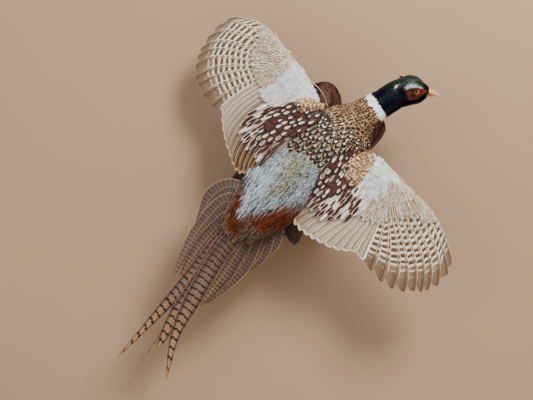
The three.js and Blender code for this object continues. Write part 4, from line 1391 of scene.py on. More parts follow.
# %% Rows of coverts
GREY_ZONE = {
    "right": [(136, -14), (163, -36), (182, -57), (174, -73), (164, -91), (153, -101), (138, -112),
              (119, -125),
              (106, -130), (94, -118), (92, -91), (95, -62), (112, -44)],
    "left": [(-6, 165), (14, 134), (34, 99), (16, 85), (-6, 80), (-30, 68), (-53, 62), (-75, 60), (-96, 72),
             (-86, 88),
             (-75, 108), (-67, 123), (-49, 136), (-19, 147)],
}


def fan_roots(side, numbers, shares, column_gap):
    """Roots on the fan: one row at each share, from feather number to number, columns so far apart."""
    surface, found = fan_surface(side, -1.0), []
    for row, share in enumerate(shares):
        line = surface(np.linspace(*numbers, 40), np.full(40, share))
        gone = np.concatenate([[0], np.cumsum(np.linalg.norm(np.diff(line, axis=0), axis=1))])
        count = max(3, round(gone[-1] / column_gap))
        at = np.interp((np.arange(count) + 0.25 + 0.5 * (row % 2)) / count * gone[-1], gone,
                       np.linspace(*numbers, 40))
        for column, number in enumerate(at):
            found.append((number, share, (column + 0.5) / count, (row + 0.5) / len(shares), 1 / count,
                          1 / len(shares)))
    found = np.array(found)
    found[:, 0] += rng.uniform(-0.1, 0.1, len(found))
    found[:, 1] += rng.uniform(-0.006, 0.006, len(found))
    return {"a": found[:, 0], "b": found[:, 1], "map": found[:, 2:]}

# %% Colours of the coverts
paint = Paint("blue-grey covert", Roughness=0.62, Specular_IOR_Level=0.3, Sheen_Weight=0.2)
x, y = paint.vane()
tone = paint.value("Tone")
fine = barbs(paint, x, y, 1.5)
colour = paint.mix(tone, rgb(186, 188, 194), rgb(234, 236, 241))
colour = colour.covered(fine.step(0.4, 0.75) * 0.6, 160, 160, 166)
speck = paint.noise(190.0, 1.0).step(0.7, 0.74)
colour = colour.covered(speck * 0.75, 104, 92, 94)
colour = colour.covered(abs(x).step(0.14, 0.04) * 0.5, 236, 232, 226)
grey_vanes = paint.finished(colour, fine, 0.0005, 0.6)

paint = Paint("cream lined covert", Roughness=0.62, Specular_IOR_Level=0.3)
x, y = paint.vane()
tone = paint.value("Tone")
fine = barbs(paint, x, y, 1.5)
wave = abs(x)
ground = paint.mix(tone, rgb(206, 188, 162), rgb(252, 245, 231))
clump = paint.noise(70.0, 2.0)
ground = ground.covered(clump.step(0.45, 0.7) * 0.5, 176, 152, 124)
tan = paint.mix(fine, rgb(78, 56, 38), rgb(136, 108, 82))
lines = wave.step(0.1, 0.22) * wave.step(0.68, 0.5) * y.step(0.97, 0.8)
rim = wave.step(0.86, 0.97)
colour = paint.mix((lines * 0.9).larger(rim * 0.7), ground, tan)
colour = colour.covered(wave.step(0.08, 0.03) * 0.8, 236, 224, 202)
cream_vanes = paint.finished(colour, fine, 0.0005, 0.6)

LONG_COVERT = feather_pattern([-1, -0.5, 0, 0.5, 1],
                              [(0, 0.6), (0.2, 0.85), (0.45, 1.0), (0.7, 0.92), (0.88, 0.64), (1.0, 0.22)])
SLIM_COVERT = feather_pattern([-1, 0, 1], [(0, 0.6), (0.3, 0.95), (0.62, 1.0), (0.86, 0.66), (1.0, 0.2)])


def flat_part(pattern, points, roots):
    """A part of a feather piece, without the feathers that fold over the thin front edge."""
    x, y, _ = pattern["points"].T
    ahead = points[:, y.argmax()] - points[:, y.argmin()]
    across = points[:, x.argmax()] - points[:, x.argmin()]
    facing = np.cross(ahead, across)[:, 1]
    flat = np.abs(facing) > 0.74 * np.linalg.norm(ahead, axis=1) * np.linalg.norm(across, axis=1)
    return pattern, points[flat], roots["map"][flat], {"Tone": shade(flat.sum())}

# %% Lay the coverts
EDGE_LEAN = 1.1
COVERT_ROWS = [-0.03, -0.005, 0.02, 0.045, 0.07, 0.095, 0.12, 0.145, 0.17, 0.195, 0.22, 0.245]
for side in WINGS:
    top, turn = fan_surface(side, -1.0), 1.0 if side == "left" else -1.0
    fixed = {"forward": 1.0, "along_b": True, "turn": turn}
    # The arm: rows from the leading edge back, grey in the grey zone.
    roots = fan_roots(side, (-0.6, 13.0), COVERT_ROWS, 5.2)
    t = roots["b"]
    ahead = fan_surface(side, -1.0)(roots["a"], t + 0.05)
    grey = inside(ahead, GREY_ZONE[side]) + rng.uniform(-8, 8, len(t)) > np.where(t < 0.06, -10, 0)
    length = blend(13, 34, smooth(0.0, 0.26, t)) * rng.uniform(0.85, 1.15, len(t))
    half = blend(4.6, 5.0, smooth(0, 0.3, t))
    part = some(roots, grey)
    points = lay(top, part, ROUND, length[grey], half[grey], 0.8, base=2.2, arch=0.1, **fixed)
    greys = flat_part(ROUND, points, part)
    part = some(roots, ~grey)
    points = lay(top, part, LONG_COVERT, length[~grey], half[~grey] * 0.8, 2.0, base=1.6, arch=0.2, sway=0.03,
                 **fixed)
    feather_piece(f"cream_coverts_{side}", [flat_part(LONG_COVERT, points, part)],
                  cream_vanes)
    # The hand: slim coverts over the roots of the primaries, and small ones along the leading edge.
    parts = []
    for numbers, shares, gap, length, half, rise in (
            ((12.6, 22.4), [0.16, 0.2], 6.4, 40, 3.6, 1.2),
            ((12.6, 22.0), [0.06, 0.11], 5.0, 30, 3.0, 1.8),
            ((12.8, 21.0), [0.015, 0.04], 3.6, 20, 2.4, 2.4)):
        roots = fan_roots(side, numbers, shares, gap)
        points = lay(top, roots, SLIM_COVERT, length, half, 1.2, base=rise, arch=0.25, sway=0.03, **fixed)
        parts.append(flat_part(SLIM_COVERT, points, roots))
    # The front edge, where small feathers lean towards the wing's tip.
    roots = wing_roots(side, (0.82, 0.97), [0.22, 0.17, 0.12, 0.08, 0.04], 3.2)
    points = lay(arm_side(side, True), roots, SLIM_COVERT, 21, 2.1, 0.8, base=1.6, arch=0.2, sway=0.04,
                 **fixed)
    parts.append((SLIM_COVERT, points, roots["map"], {"Tone": shade(len(points))}))
    roots = wing_roots(side, (0.16, 0.95), [0.035, 0.02, 0.005, -0.01, -0.025], 5.0)
    points = lay(arm_side(side, True), roots, ROUND, blend(13, 19, roots["a"]), blend(3.4, 2.4, roots["a"]),
                 1.0,
                 base=2.0, arch=0.2, yaw=EDGE_LEAN, sway=0.05, **fixed)
    grey = inside(points.mean(1), GREY_ZONE[side]) + rng.uniform(-3, 3, len(points)) > -9
    edge = [(ROUND, points[keep], roots["map"][keep], {"Tone": shade(keep.sum())}) for keep in (grey, ~grey)]
    # A few flat ones lie under the others, so that no gap shows.
    roots = wing_roots(side, (0.02, 0.5), [0.03, 0.09, 0.15, 0.21, 0.27], 7.0)
    points = lay(arm_side(side, True), roots, ROUND, 20, 5.6, 0.6, base=0.9, arch=0.1, **fixed)
    under = flat_part(ROUND, points, roots)
    feather_piece(f"grey_coverts_{side}", share_map([greys, edge[0], under]), grey_vanes)
    feather_piece(f"hand_coverts_{side}", share_map(parts + [edge[1]]), cream_vanes,
                  [f"wing_{side}_alula"])

# %% Underside of the wings
paint = Paint("pale underwing covert", Roughness=0.7, Specular_IOR_Level=0.3)
x, y = paint.vane()
fine = barbs(paint, x, y, 1.5)
colour = paint.mix(paint.value("Tone"), rgb(196, 184, 166), rgb(226, 218, 204))
colour = colour.covered(fine.step(0.4, 0.75) * 0.5, 160, 142, 118)
under_vanes = paint.finished(colour, fine, 0.0005, 0.6)
for side in WINGS:
    roots = wing_roots(side, (0.0, 0.9), [0.0, 0.03, 0.06, 0.1, 0.14, 0.2, 0.26, 0.32], 8.5)
    points = lay(arm_side(side, False), roots, ROUND, blend(16, 36, smooth(0, 0.32, roots["b"])), 6.2, 2.0,
                 forward=1.0, along_b=True, turn=-1.0 if side == "left" else 1.0, base=0.3, arch=0.2)
    coat(f"underwing_coverts_{side}", ROUND, points, roots, under_vanes, "wing_feathers")

# %% [markdown]
# ## Shoulder feathers
# Broad maroon feathers with pale drops fall from each shoulder over the calm surface, small golden ones
# cover its bend, and behind them lie long white feathers with a chestnut streak.

# %% Maroon shoulder feathers with pale drops
paint = Paint("maroon shoulder vane", Roughness=0.55, Specular_IOR_Level=0.4)
x, y = paint.vane()
tone, size = paint.value("Tone"), paint.value("Drop")
fine = barbs(paint, x, y, 1.5)
wide = abs(x)
patch = paint.noise(150.0, 2.0)
maroon = paint.mix((fine + patch - 0.5).step(0.3, 0.7), rgb(38, 14, 11), rgb(100, 46, 36))
maroon = maroon.covered(wide.step(0.4, 0.6) * patch.step(0.45, 0.6) * 0.4, 146, 86, 56)
# A dark rim along each feather's sides and tip is painted shade between the overlapping feathers.
rim = wide.step(0.66, 0.82).larger((y + wide * wide * 0.3).step(0.94, 1.0))
maroon = maroon.covered(rim * 0.85, 20, 9, 7)
# The drop is widest towards the feather's tip.
far = drop_vane(paint, x + (tone - 0.5) * 0.12, y, 0.7, y * 0.42 + 0.1, 0.3, 0.12)
colour = paint.mix((far - size).step(0.36, 0.12) * 0.85, maroon, rgb(22, 10, 8))
pale = paint.mix(fine, rgb(176, 166, 150), rgb(248, 245, 236))
# The drop is greyer towards the feather's root: painted shade.
pale = pale.covered(y.step(0.7, 0.5) * 0.5, 132, 120, 104)
colour = paint.mix((far - size).step(0.04, -0.05), colour, pale)
olive = paint.mix(fine, rgb(96, 88, 70), rgb(160, 152, 132))
big = size.step(0.8, 0.86)
colour = paint.mix((far - size).step(-0.2, -0.3) * big, colour, olive)
maroon_vanes = paint.finished(colour, fine, 0.0005, 0.6)

# %% White feathers with a chestnut streak
paint = Paint("white vane with chestnut streak", Roughness=0.62, Specular_IOR_Level=0.3)
x, y = paint.vane()
fine = barbs(paint, x, y, 1.5)
tone, wide = paint.value("Tone"), abs(x)
white = paint.mix(fine, rgb(206, 196, 180), rgb(252, 249, 243))
# Fine brown lines run among the pale barbs: barb texture, deepened as painted shade between the barbs.
threads = paint.noise(1.6, 2.0, at=paint.join(x * 1.1, y * 0.9 - wide * 0.5, tone * 60.0))
white = white.covered(threads.step(0.5, 0.62) * 0.8, 138, 116, 96)
# Feathers near the back are darker brown: partly their own colour, partly painted shade in the seam between
# wing and back.
white = white.covered(paint.value("Dark") * 0.8, 88, 66, 48)
red = paint.mix(fine, rgb(50, 20, 16), rgb(98, 44, 34))
tear = drop_vane(paint, x + 0.1, y, 0.72, 0.46, 0.2, 0.14)
colour = paint.mix((tear - paint.value("Drop") * 1.15).step(0.1, -0.1), white, red)
# The darker sides of each feather are painted shade in the gaps between the feathers.
colour = colour.covered(wide.step(0.52, 0.8) * 0.85, 92, 68, 50)
streaked_vanes = paint.finished(colour, threads, 0.0008, 0.7)

# %% Golden shoulder feathers
paint = Paint("golden shoulder vane", Roughness=0.62, Specular_IOR_Level=0.35, Sheen_Weight=0.15)
x, y = paint.vane()
tone = paint.value("Tone")
fine = barbs(paint, x, y, 1.5)
colour = paint.mix(fine.step(0.4, 0.75) * 0.5, paint.colour("Base"), rgb(110, 66, 36))
fleck = paint.noise(260.0, 2.0).step(0.54, 0.62)
colour = colour.covered(fleck * 0.8, 70, 42, 26)
spot = drop_vane(paint, x, y, 0.52, 0.44, 0.22, 0.05).step(0.85, 0.6)
colour = colour.covered(spot * tone.step(0.3, 0.5), 242, 232, 208)
rim = (y + abs(x) * 0.16).step(0.86, 0.95)
colour = colour.covered(rim * 0.65, 58, 36, 24)
golden_vanes = paint.finished(colour, fine, 0.0005, 0.6)

# %% Where the shoulder feathers lie
SHOULDERS = {
    "right": {"maroon": [(66, -9), (89, -4), (108, -4), (98, -23), (92, -36), (100, -51), (106, -64),
                         (91, -77), (76, -79),
                         (55, -92), (34, -94), (32, -70), (37, -57), (42, -42), (50, -27)],
              "streak": [(110, -68), (89, -70), (76, -72), (55, -80), (24, -86), (10, -104), (28, -127),
                         (53, -140),
                         (76, -136), (106, -131), (112, -112)],
              "golden": [(96, -12), (119, -7), (138, -9), (146, -14), (140, -27), (129, -41), (121, -54),
                         (110, -64), (98, -67),
                         (90, -53), (86, -38), (88, -20)],
              "flow": (-2.5, -2.05), "line": ((20, -90), (115, -40))},
    "left": {"maroon": [(-8, 84), (5, 88), (25, 82), (40, 68), (27, 52), (3, 36), (-19, 27), (-40, 18),
                        (-66, 10),
                        (-80, 16), (-66, 40), (-53, 57), (-42, 68), (-27, 78)],
             "streak": [(-30, 74), (-75, 73), (-97, 66), (-110, 49), (-112, 29), (-99, 17), (-90, -6),
                        (-84, -20),
                        (-60, -10), (-38, 8), (-25, 27), (-45, 44)],
             "golden": [(-10, 88), (3, 98), (16, 97), (31, 95), (45, 85), (40, 73), (21, 74), (0, 79)],
             "flow": (-2.3, -2.75), "line": ((-90, -10), (-60, 70))},
}


def along_line(points, line):
    """Share of the way from one place on the wall's plane to another."""
    a, b = np.array(line, float)
    return np.clip((seen_flat(points) - a) @ (b - a) / ((b - a) @ (b - a)), 0, 1)

# %% Lay the shoulder feathers
for side, shape in SHOULDERS.items():
    low, high = shape["flow"]
    middle = (low + high) / 2
    length = 42 if side == "right" else 50
    roots, at = cloth_roots(shape["streak"], middle, 14.5, 7.4, reach=length * 0.78)
    count = len(at)
    flow = blend(low, high, along_line(at, shape["line"]))
    laid = lay_cloth(roots, LONG_COVERT, length, 5.0, 2.0, flow, base=0.8)
    drop = np.where(rng.uniform(0, 1, count) < 0.8, rng.uniform(0.8, 1.3, count), -1.0)
    off_back = np.abs((at - BACK_MIDDLE) @ TO_LEFT)
    # Darker near the back: partly the feathers' own colour, partly painted shade in the seam between wing and
    # back.
    dark = smooth(92, 62, off_back + rng.uniform(-8, 8, count))
    coat(f"streaked_feathers_{side}", LONG_COVERT, laid, roots, streaked_vanes, "wing_feathers", Drop=drop,
         Dark=dark)
    roots, at = cloth_roots(shape["maroon"], middle, 13.0, 10.2, reach=20)
    count = len(at)
    down = 1 - smooth(0, 70, np.linalg.norm(seen_flat(at) - np.array(shape["golden"], float).mean(0), axis=1))
    size = np.clip(0.7 - 0.26 * down + rng.uniform(-0.22, 0.22, count), 0.32, 1.0)
    size = np.where(rng.uniform(0, 1, count) < 0.12, -1.0, size)
    flow = blend(low, high, along_line(at, shape["line"]))
    laid = lay_cloth(roots, LARGE, blend(30, 20, down), blend(8.2, 6.0, down), 2.8, flow, base=2.0)
    coat(f"shoulder_feathers_{side}", LARGE, laid, roots, maroon_vanes, "wing_feathers", Drop=size)
    roots, at = cloth_roots(shape["golden"], middle, 6.2, 6.0, reach=7)
    count = len(at)
    flow = blend(low, high, along_line(at, shape["line"])) + rng.uniform(-0.35, 0.35, count)
    laid = lay_cloth(roots, ROUND, 13.5, 4.0, 2.6, flow, base=3.0, arch=0.12)
    warm = tints((172, 124, 76), (230, 200, 156), shade(count)[:, None])
    rust = tints((150, 84, 50), (120, 58, 36), shade(count)[:, None])
    if side == "right":
        near_maroon = smooth(9, -4, inside(at, shape["golden"]))[:, None] * smooth(120, 84, at[:, :1])
    else:
        near_maroon = smooth(82, 74, at[:, 2:])
    coat(f"golden_shoulder_{side}", ROUND, laid, roots, golden_vanes, "wing_feathers",
         Base=blend(warm, rust, near_maroon))

# %% A loose quill over the wood
QUILL = feather_pattern([-1, 0, 1], [(s, 1.0) for s in np.linspace(0, 1, 21)])
QUILL_LINE = np.array([(19, 134), (36, 120), (47, 104), (53, 85)], float)
QUILL_DEPTH = (-158, -162)
line = np.stack([QUILL_LINE[:, 0], np.linspace(*QUILL_DEPTH, 4), QUILL_LINE[:, 1]], -1)
x, t, z = QUILL["points"].T
sideways = unit(np.cross(along(line, t + 1e-3) - along(line, t - 1e-3), [0, 1.0, 0]))
points = (along(line, t) + sideways * (x * blend(0.7, 0.3, t))[:, None]
          - np.array([0, 1.0, 0]) * (z * 0.5)[:, None])
feather_piece("loose_quill", [(QUILL, points[None], map_in_row(1, 0, 1), {"Tone": np.array([1.0])})],
              cream_vanes)

# %% [markdown]
# ## Breast, belly and flanks
# The breast is a glossy copper and purple with dark scallops, the flanks are golden, and the belly, which
# faces the wall, is nearly black-brown. One paint serves them, with the ground colour held by each feather.

# %% Feathers of the breast and belly
paint = Paint("scalloped breast vane", Roughness=0.45, Specular_IOR_Level=0.25)
x, y = paint.vane()
fine = barbs(paint, x, y, 1.5)
ground = paint.colour("Base")
colour = paint.mix(fine.step(0.4, 0.75) * 0.45, ground, rgb(30, 14, 14))
out_share = abs(x)
scallop = (y * 0.86 + out_share ** 2.0 * 0.22).step(0.8, 0.9)
colour = colour.covered(scallop * paint.value("Scallop"), 20, 10, 12)
breast_vanes = paint.finished(colour, fine, 0.0005, 0.5)

# %% Lay the breast and belly
def under_colours(points, up):
    """Ground colour and depth of the scallops for the feathers of the breast, flanks and belly."""
    count = len(points)
    vary = shade(count)[:, None]
    purple = tints((34, 15, 17), (76, 38, 38), vary)
    copper = tints((116, 66, 32), (160, 102, 54), vary)
    belly = tints((34, 24, 18), (64, 46, 32), vary)
    front = smooth(70, 130, points @ ALONG_BACK)[:, None]
    flank = smooth(-0.75, -0.1, up)[:, None]
    colour = blend(blend(belly, copper, flank), purple, front)
    return colour, blend(0.25, 1.0, np.maximum(front, flank))[:, 0]


parts = []
for surface, roots, at, up, taken, length, half in (
        (trunk_form, trunk_roots, trunk_at, trunk_up,
         in_mantle | ((trunk_up > -0.05) & (trunk_roots["a"] < 6.4)), 18, 5.6),
        (neck_form, neck_roots, neck_at, neck_up, neck_mantle, 12.5, 3.9)):
    keep = over_skin(at) & ~taken
    part, where = some(roots, keep), at[keep]
    ground, scallops = under_colours(where, up[keep])
    laid = lay(surface, part, ROUND, length, half, length * 0.12, tree=skin_tree, base=0.4, arch=0.2)
    parts.append((ROUND, laid, part["map"], {"Tone": shade(len(where)), "Base": ground, "Scallop": scallops}))
feather_piece("breast_and_belly_feathers", parts, breast_vanes)

# %% [markdown]
# ## Collar, neck and head
# A white collar parts the golden mantle from the dark hood. The hood's small flat feathers are glossy:
# purple-blue at the throat, blue round the neck and green on the crown. They get smaller towards the
# bill, and none grow on the bare red face.

# %% Feathers of the collar and hood
paint = Paint("white collar vane", Roughness=0.6, Specular_IOR_Level=0.35)
x, y = paint.vane()
fine = barbs(paint, x, y, 1.5)
colour = paint.mix(fine, rgb(240, 242, 245), rgb(255, 255, 255))
colour = colour.covered(paint.value("Tone") * 0.2, 216, 214, 212)
collar_vanes = paint.finished(colour, fine, 0.0004, 0.5)

paint = Paint("glossy hood vane", Roughness=0.36, Specular_IOR_Level=0.09, Metallic=0.3)
x, y = paint.vane()
fine = barbs(paint, x, y, 1.0)
colour = paint.mix(fine * 0.6, paint.colour("Base"), rgb(4, 5, 7))
hood_vanes = paint.finished(colour, fine, 0.0003, 0.5)

eye_low, eye_high = (np.array(corner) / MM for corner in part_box("eye_right"))
FACE_SHIFT = HEAD_SIDE * 0.6 - HEAD_AXIS * 2.6
EYE_RIGHT = (eye_low + eye_high) / 2 + FACE_SHIFT
EYE_LEFT = other_side(EYE_RIGHT)
WATTLE = [(-22, 2), (-12, 3), (0, 6), (13, 4.5), (23, 2), (19, -4), (13, -8), (4, -14), (-8, -20), (-15, -17),
          (-18, -9)]
RED = [(-22, 0), (-7.5, -1.6), (-5, 1), (0, 6), (9, 4.6), (22, 2.4), (21, -1), (6.5, -9.2), (-1, -15.5),
       (-11, -19.3), (-14.9, -15.5), (-18, -8)]
print("eyes at", EYE_RIGHT.round(1), EYE_LEFT.round(1))


EYE_CLEAR = 7.6  # millimetres round the middle of an eye without feathers


def beside_eye(points):
    """Places on either side of the head, relative to the right eye and seen along the wall's plane."""
    near = np.where((((points - HEAD_MIDDLE) @ HEAD_SIDE) < 0)[:, None], other_side(points), points)
    return near[:, [0, 2]] - EYE_RIGHT[[0, 2]]

# %% Lay the collar
collar_roots = body_roots(neck_form, 3.98, 3.04, 3.2, 3.6)
collar_roots = some(collar_roots,
                    collar_roots["a"] > 3.04 + 0.45 * smooth(0.1, -0.9, np.cos(collar_roots["b"])))
collar_depth = 0.5 + 2.6 * smooth(-0.25, -0.75, np.sin(collar_roots["b"]))
laid = lay(neck_form, collar_roots, SMALL, 9, 2.5, 1.5, tree=skin_tree, base=collar_depth, arch=0.2)
coat("collar_feathers", SMALL, laid, collar_roots, collar_vanes, "hood_feathers")

# %% Lay the hood
def hood_colours(roots, points):
    count = len(points)
    vary = shade(count)[:, None]
    s, up = roots["a"], np.sin(roots["b"])
    blue = tints((6, 10, 22), (24, 44, 74), vary ** 2)
    purple = tints((12, 6, 20), (48, 28, 66), vary ** 2)
    green = tints((14, 30, 28), (44, 78, 64), vary)
    crown = tints((32, 44, 40), (80, 90, 80), vary)
    colour = blend(blue, purple, smooth(0.25, -0.4, up)[:, None] * smooth(6.6, 5.2, s)[:, None])
    colour = blend(colour, green, smooth(0.2, 0.75, up)[:, None] * smooth(4.6, 6.4, s)[:, None])
    colour = blend(colour, crown, smooth(0.6, 0.85, up)[:, None] * smooth(5.6, 6.8, s)[:, None])
    over_eye = smooth(6.2, 6.5, s) * smooth(9.3, 8.9, s)
    # Painted highlights: a bluish sheen and a white band above each eye, a white spot behind the ear on the
    # near side, and a thin white line along the crown on the far side.
    painted_sheen = 0.4 * np.exp(-((up - 0.71) / 0.1) ** 4) * over_eye
    colour = blend(colour, tints((96, 116, 134), (176, 196, 210), vary), painted_sheen[:, None])
    painted_glint = np.exp(-((up - 0.61) / 0.088) ** 4) * over_eye
    near_side = np.cos(roots["b"]) > 0
    painted_glint = np.maximum(painted_glint, np.exp(-((up - 0.92) / 0.034) ** 4 - ((s - 6.02) / 0.17) ** 4) * near_side)
    painted_glint = np.maximum(painted_glint, 0.7 * np.exp(-((up - 0.8) / 0.06) ** 4 - ((s - 7.2) / 0.6) ** 4) * ~near_side)
    ear = np.exp(-((up - 0.64) / 0.2) ** 4 - ((s - 6.38) / 0.34) ** 4)
    lore = smooth(8.5, 9.0, s + rng.uniform(-0.2, 0.2, count))
    colour = blend(colour, tint(12, 14, 14), lore[:, None])
    # The painted highlights are nearly white.
    colour = blend(colour, tints((206, 222, 232), (255, 255, 255), vary), painted_glint[:, None])
    return blend(colour, tint(4, 5, 7), ear[:, None])


def hood_depth(roots):
    """How high the hood's feathers stand: deepest at the throat and the nape."""
    s, up = roots["a"], np.sin(roots["b"])
    throat = (5.2 * smooth(-0.25, -0.75, up) * blend(0.6, 1.0, smooth(3.6, 4.6, s))
              * blend(0.6, 1.0, smooth(9.8, 8.4, s)))
    crown = smooth(0.25, 0.7, up) * (1.9 * smooth(4.4, 5.4, s) + 3.0 * np.exp(-((s - 5.6) / 0.7) ** 2))
    return 0.25 + throat + crown


parts = []
for first, last, row_gap, column_gap, length, half, lift in (
        (6.3, 3.74, 3.0, 3.4, 8.0, 2.3, 1.2), (8.3, 6.2, 2.2, 2.6, 5.6, 1.75, 0.75),
        (9.9, 8.2, 1.5, 1.7, 3.6, 1.1, 0.45)):
    roots = body_roots(neck_form, first, last, row_gap, column_gap)
    at = neck_form(roots["a"], roots["b"])
    to_eye = np.minimum(*(np.linalg.norm(at - eye, axis=1) for eye in (EYE_RIGHT, EYE_LEFT)))
    clear_of_eye = to_eye > EYE_CLEAR
    keep = ((inside_flat(beside_eye(at), WATTLE) < -0.6) & clear_of_eye) | (np.sin(roots["b"]) < -0.6)
    roots, at = some(roots, keep), at[keep]
    laid = lay(neck_form, roots, SMALL, length, half, lift, tree=skin_tree, base=hood_depth(roots), arch=0.2)
    parts.append((SMALL, laid, roots["map"] * [1, 1 / 3, 1, 1 / 3] + [0, len(parts) / 3, 0, 0],
                  {"Tone": shade(len(at)), "Base": hood_colours(roots, at)}))
feather_piece("hood_feathers", parts, hood_vanes)

# %% [markdown]
# ## Thighs and the feathers over the tail's root
# The thighs wear soft brown feathers like wisps of hair. Over the root of the tail, rusty and brown
# hair-like coverts run out from the rump so that no root of a tail feather shows.

# %% Thigh feathers
THIGHS = {
    "right": ([(20, -98, -84), (4, -86, -122), (-10, -76, -154), (-9, -70, -183)], [26, 27, 24, 8]),
    "left": ([(-44, -96, -42), (-82, -84, -40), (-110, -76, -47), (-135, -70, -56)], [26, 23, 17, 3])}
paint = Paint("brown thigh wisp", Roughness=0.75, Specular_IOR_Level=0.3, Sheen_Weight=0.2)
x, y = paint.vane()
fine = barbs(paint, x, y, 1.0)
colour = paint.mix(fine.step(0.4, 0.8) * 0.6, paint.colour("Base"), rgb(30, 20, 14))
colour = colour.covered(y.step(0.7, 1.0) * 0.4, 112, 84, 56)
wisp_vanes = paint.finished(colour, fine, 0.0005, 0.5)
for side, (line, radii) in THIGHS.items():
    radii = np.array(radii, float)[:, None]
    stations = np.hstack([np.array(line, float), radii, radii])
    form = oval_form(stations, lambda s: np.broadcast_to(np.array([0, -1.0, 0]), np.shape(s) + (3,)))
    roots = body_roots(form, 0.6, 2.95, 5.0, 4.6)
    at = form(roots["a"], roots["b"])
    keep = over_skin(at, 5)
    roots, at = some(roots, keep), at[keep]
    laid = lay(form, roots, HAIRY, 17, 2.7, 2.6, forward=1.0, turn=-1.0, tree=skin_tree, base=0.4, arch=0.25,
               yaw=rng.uniform(-0.25, 0.25, len(at)))
    ground = tints((52, 34, 18), (98, 70, 44), shade(len(at))[:, None])
    coat(f"thigh_feathers_{side}", HAIRY, laid, roots, wisp_vanes, "thigh_feathers", Base=ground)

# %% Coverts over the tail's root
COVER_LEFT = [(-88, -72), (-116, -70), (-146, -78), (-172, -98)]
COVER_RIGHT = [(-44, -128), (-54, -152), (-62, -176), (-72, -204)]


def tail_cover(a, b):
    """A fan over the root of the tail: a runs out along the tail and b from its left to its right."""
    left, right = (along(np.array([(x, 0, z) for x, z in line], float), a)
                   for line in (COVER_LEFT, COVER_RIGHT))
    at = blend(left, right, b[..., None])
    hump = 1 - (2 * np.clip(b, 0, 1) - 1) ** 2
    at[..., 1] = tail_depth(at[..., 0], at[..., 2], 0) + 12 - COVER_RISE * hump
    return at


found = []
for row, a in enumerate(np.linspace(-0.18, 0.4, 13)):
    for column in range(25):
        b = (column + 0.25 + 0.5 * (row % 2)) / 25
        if b > 0.22 or a < -0.05:
            found.append((a, b, (column + 0.5) / 25, (row + 0.5) / 13, 1 / 25, 1 / 13))
found = np.array(found)
found[:, :2] += rng.uniform(-0.015, 0.015, (len(found), 2))
roots = {"a": found[:, 0], "b": found[:, 1], "map": found[:, 2:]}
at = tail_cover(roots["a"], roots["b"])
count = len(at)
laid = lay(tail_cover, roots, HAIRY, 34, 3.4, 1.6, forward=1.0, turn=1.0, base=0.4, arch=0.2,
           yaw=rng.uniform(-0.16, 0.16, count))
rust = tints((88, 38, 14), (150, 84, 44), shade(count)[:, None])
brown = tints((60, 40, 24), (118, 92, 66), shade(count)[:, None])
edge_share = np.abs(2 * roots["b"] - 1)
rusty = smooth(0.25, 0.7, edge_share + rng.uniform(-0.2, 0.2, count)) * smooth(0.35, 0.05, roots["a"])
ground = blend(brown, rust, rusty[:, None])
coat("tail_coverts", HAIRY, laid, roots, wisp_vanes, "tail_feathers", Base=ground)

# %% [markdown]
# ## Eyes, bare face, bill and ear tufts
# The glass eye is a ball with an amber iris and a black pupil, set in the head behind a soft ring of
# lid. Round it the face is bare red skin, full of small bumps. The bill is a remeshed copy of its solid
# with the nostril and its scale pressed in, and the ear tufts are a few narrow feathers.

# %% Eyes and lids
def turned_to(direction, centre):
    """A matrix that carries +Z to a direction and the origin to a centre, in metres."""
    turn = Vector(direction).to_track_quat("Z", "Y").to_matrix().to_4x4()
    turn.translation = Vector(centre) * MM
    return turn


EYE_RADIUS, IRIS, PUPIL, SUNK = 7.3, 4.9, 2.6, 0.9
LID = {"ring": 5.7, "tube": 0.8}
for side, eye in (("right", EYE_RIGHT), ("left", EYE_LEFT)):
    gaze = unit(unit(eye - other_side(eye)) + HEAD_AXIS * 0.12 + HEAD_UP * 0.34)
    bm = bmesh.new()
    sunk = eye - gaze * SUNK
    bmesh.ops.create_uvsphere(bm, u_segments=40, v_segments=24, radius=EYE_RADIUS * MM,
                              matrix=turned_to(gaze, sunk))
    ball = piece_of(bm, f"glass_eye_{side}")
    paint = Paint(f"glass eye {side}", Roughness=0.1, Specular_IOR_Level=0.08)
    pole = tuple((sunk + gaze * EYE_RADIUS) * MM)
    away = paint.distance(pole)
    fibre = paint.noise(1500.0, 2.0)
    amber = paint.mix(fibre, rgb(196, 140, 70), rgb(236, 196, 128))
    amber = amber.covered(away.step(IRIS - 0.9, IRIS), 96, 60, 30)
    colour = paint.mix(away.step(IRIS + 0.15, IRIS - 0.1), rgb(10, 7, 6), amber)
    paint.set(Base_Color=paint.mix(away.step(PUPIL + 0.12, PUPIL - 0.1), colour, rgb(3, 3, 4)))
    finish_piece(ball, paint.material, [f"eye_{side}"])

    bm = bmesh.new()
    bmesh.ops.create_circle(bm, segments=12, radius=LID["tube"] * MM)
    bmesh.ops.rotate(bm, verts=bm.verts, cent=(0, 0, 0), matrix=Matrix.Rotation(math.pi / 2, 3, "X"))
    bmesh.ops.translate(bm, verts=bm.verts, vec=(LID["ring"] * MM, 0, 0))
    bmesh.ops.spin(bm, geom=bm.verts[:] + bm.edges[:], cent=(0, 0, 0), axis=(0, 0, 1), angle=2 * math.pi,
                   steps=40, use_merge=True)
    bmesh.ops.remove_doubles(bm, verts=bm.verts, dist=1e-6)
    bmesh.ops.recalc_face_normals(bm, faces=bm.faces)
    lid_turn = turned_to(gaze, eye + gaze * 3.5)
    bmesh.ops.transform(bm, verts=bm.verts, matrix=lid_turn)
    lid = piece_of(bm, f"eyelid_{side}")
    paint = Paint(f"lid {side}", Roughness=0.5, Specular_IOR_Level=0.4)
    crease = paint.noise(900.0, 3.0)
    paint.set(Base_Color=paint.mix(crease, rgb(14, 8, 8), rgb(60, 20, 18))).bump(crease, 0.0004, 0.6)
    finish_piece(lid, paint.material)

# %% Bare red face
def remeshed_copy(name, node, voxel, passes):
    piece = joined(name, [grown_copy(node, 0.0)])
    remeshed(piece, voxel, passes)
    return piece


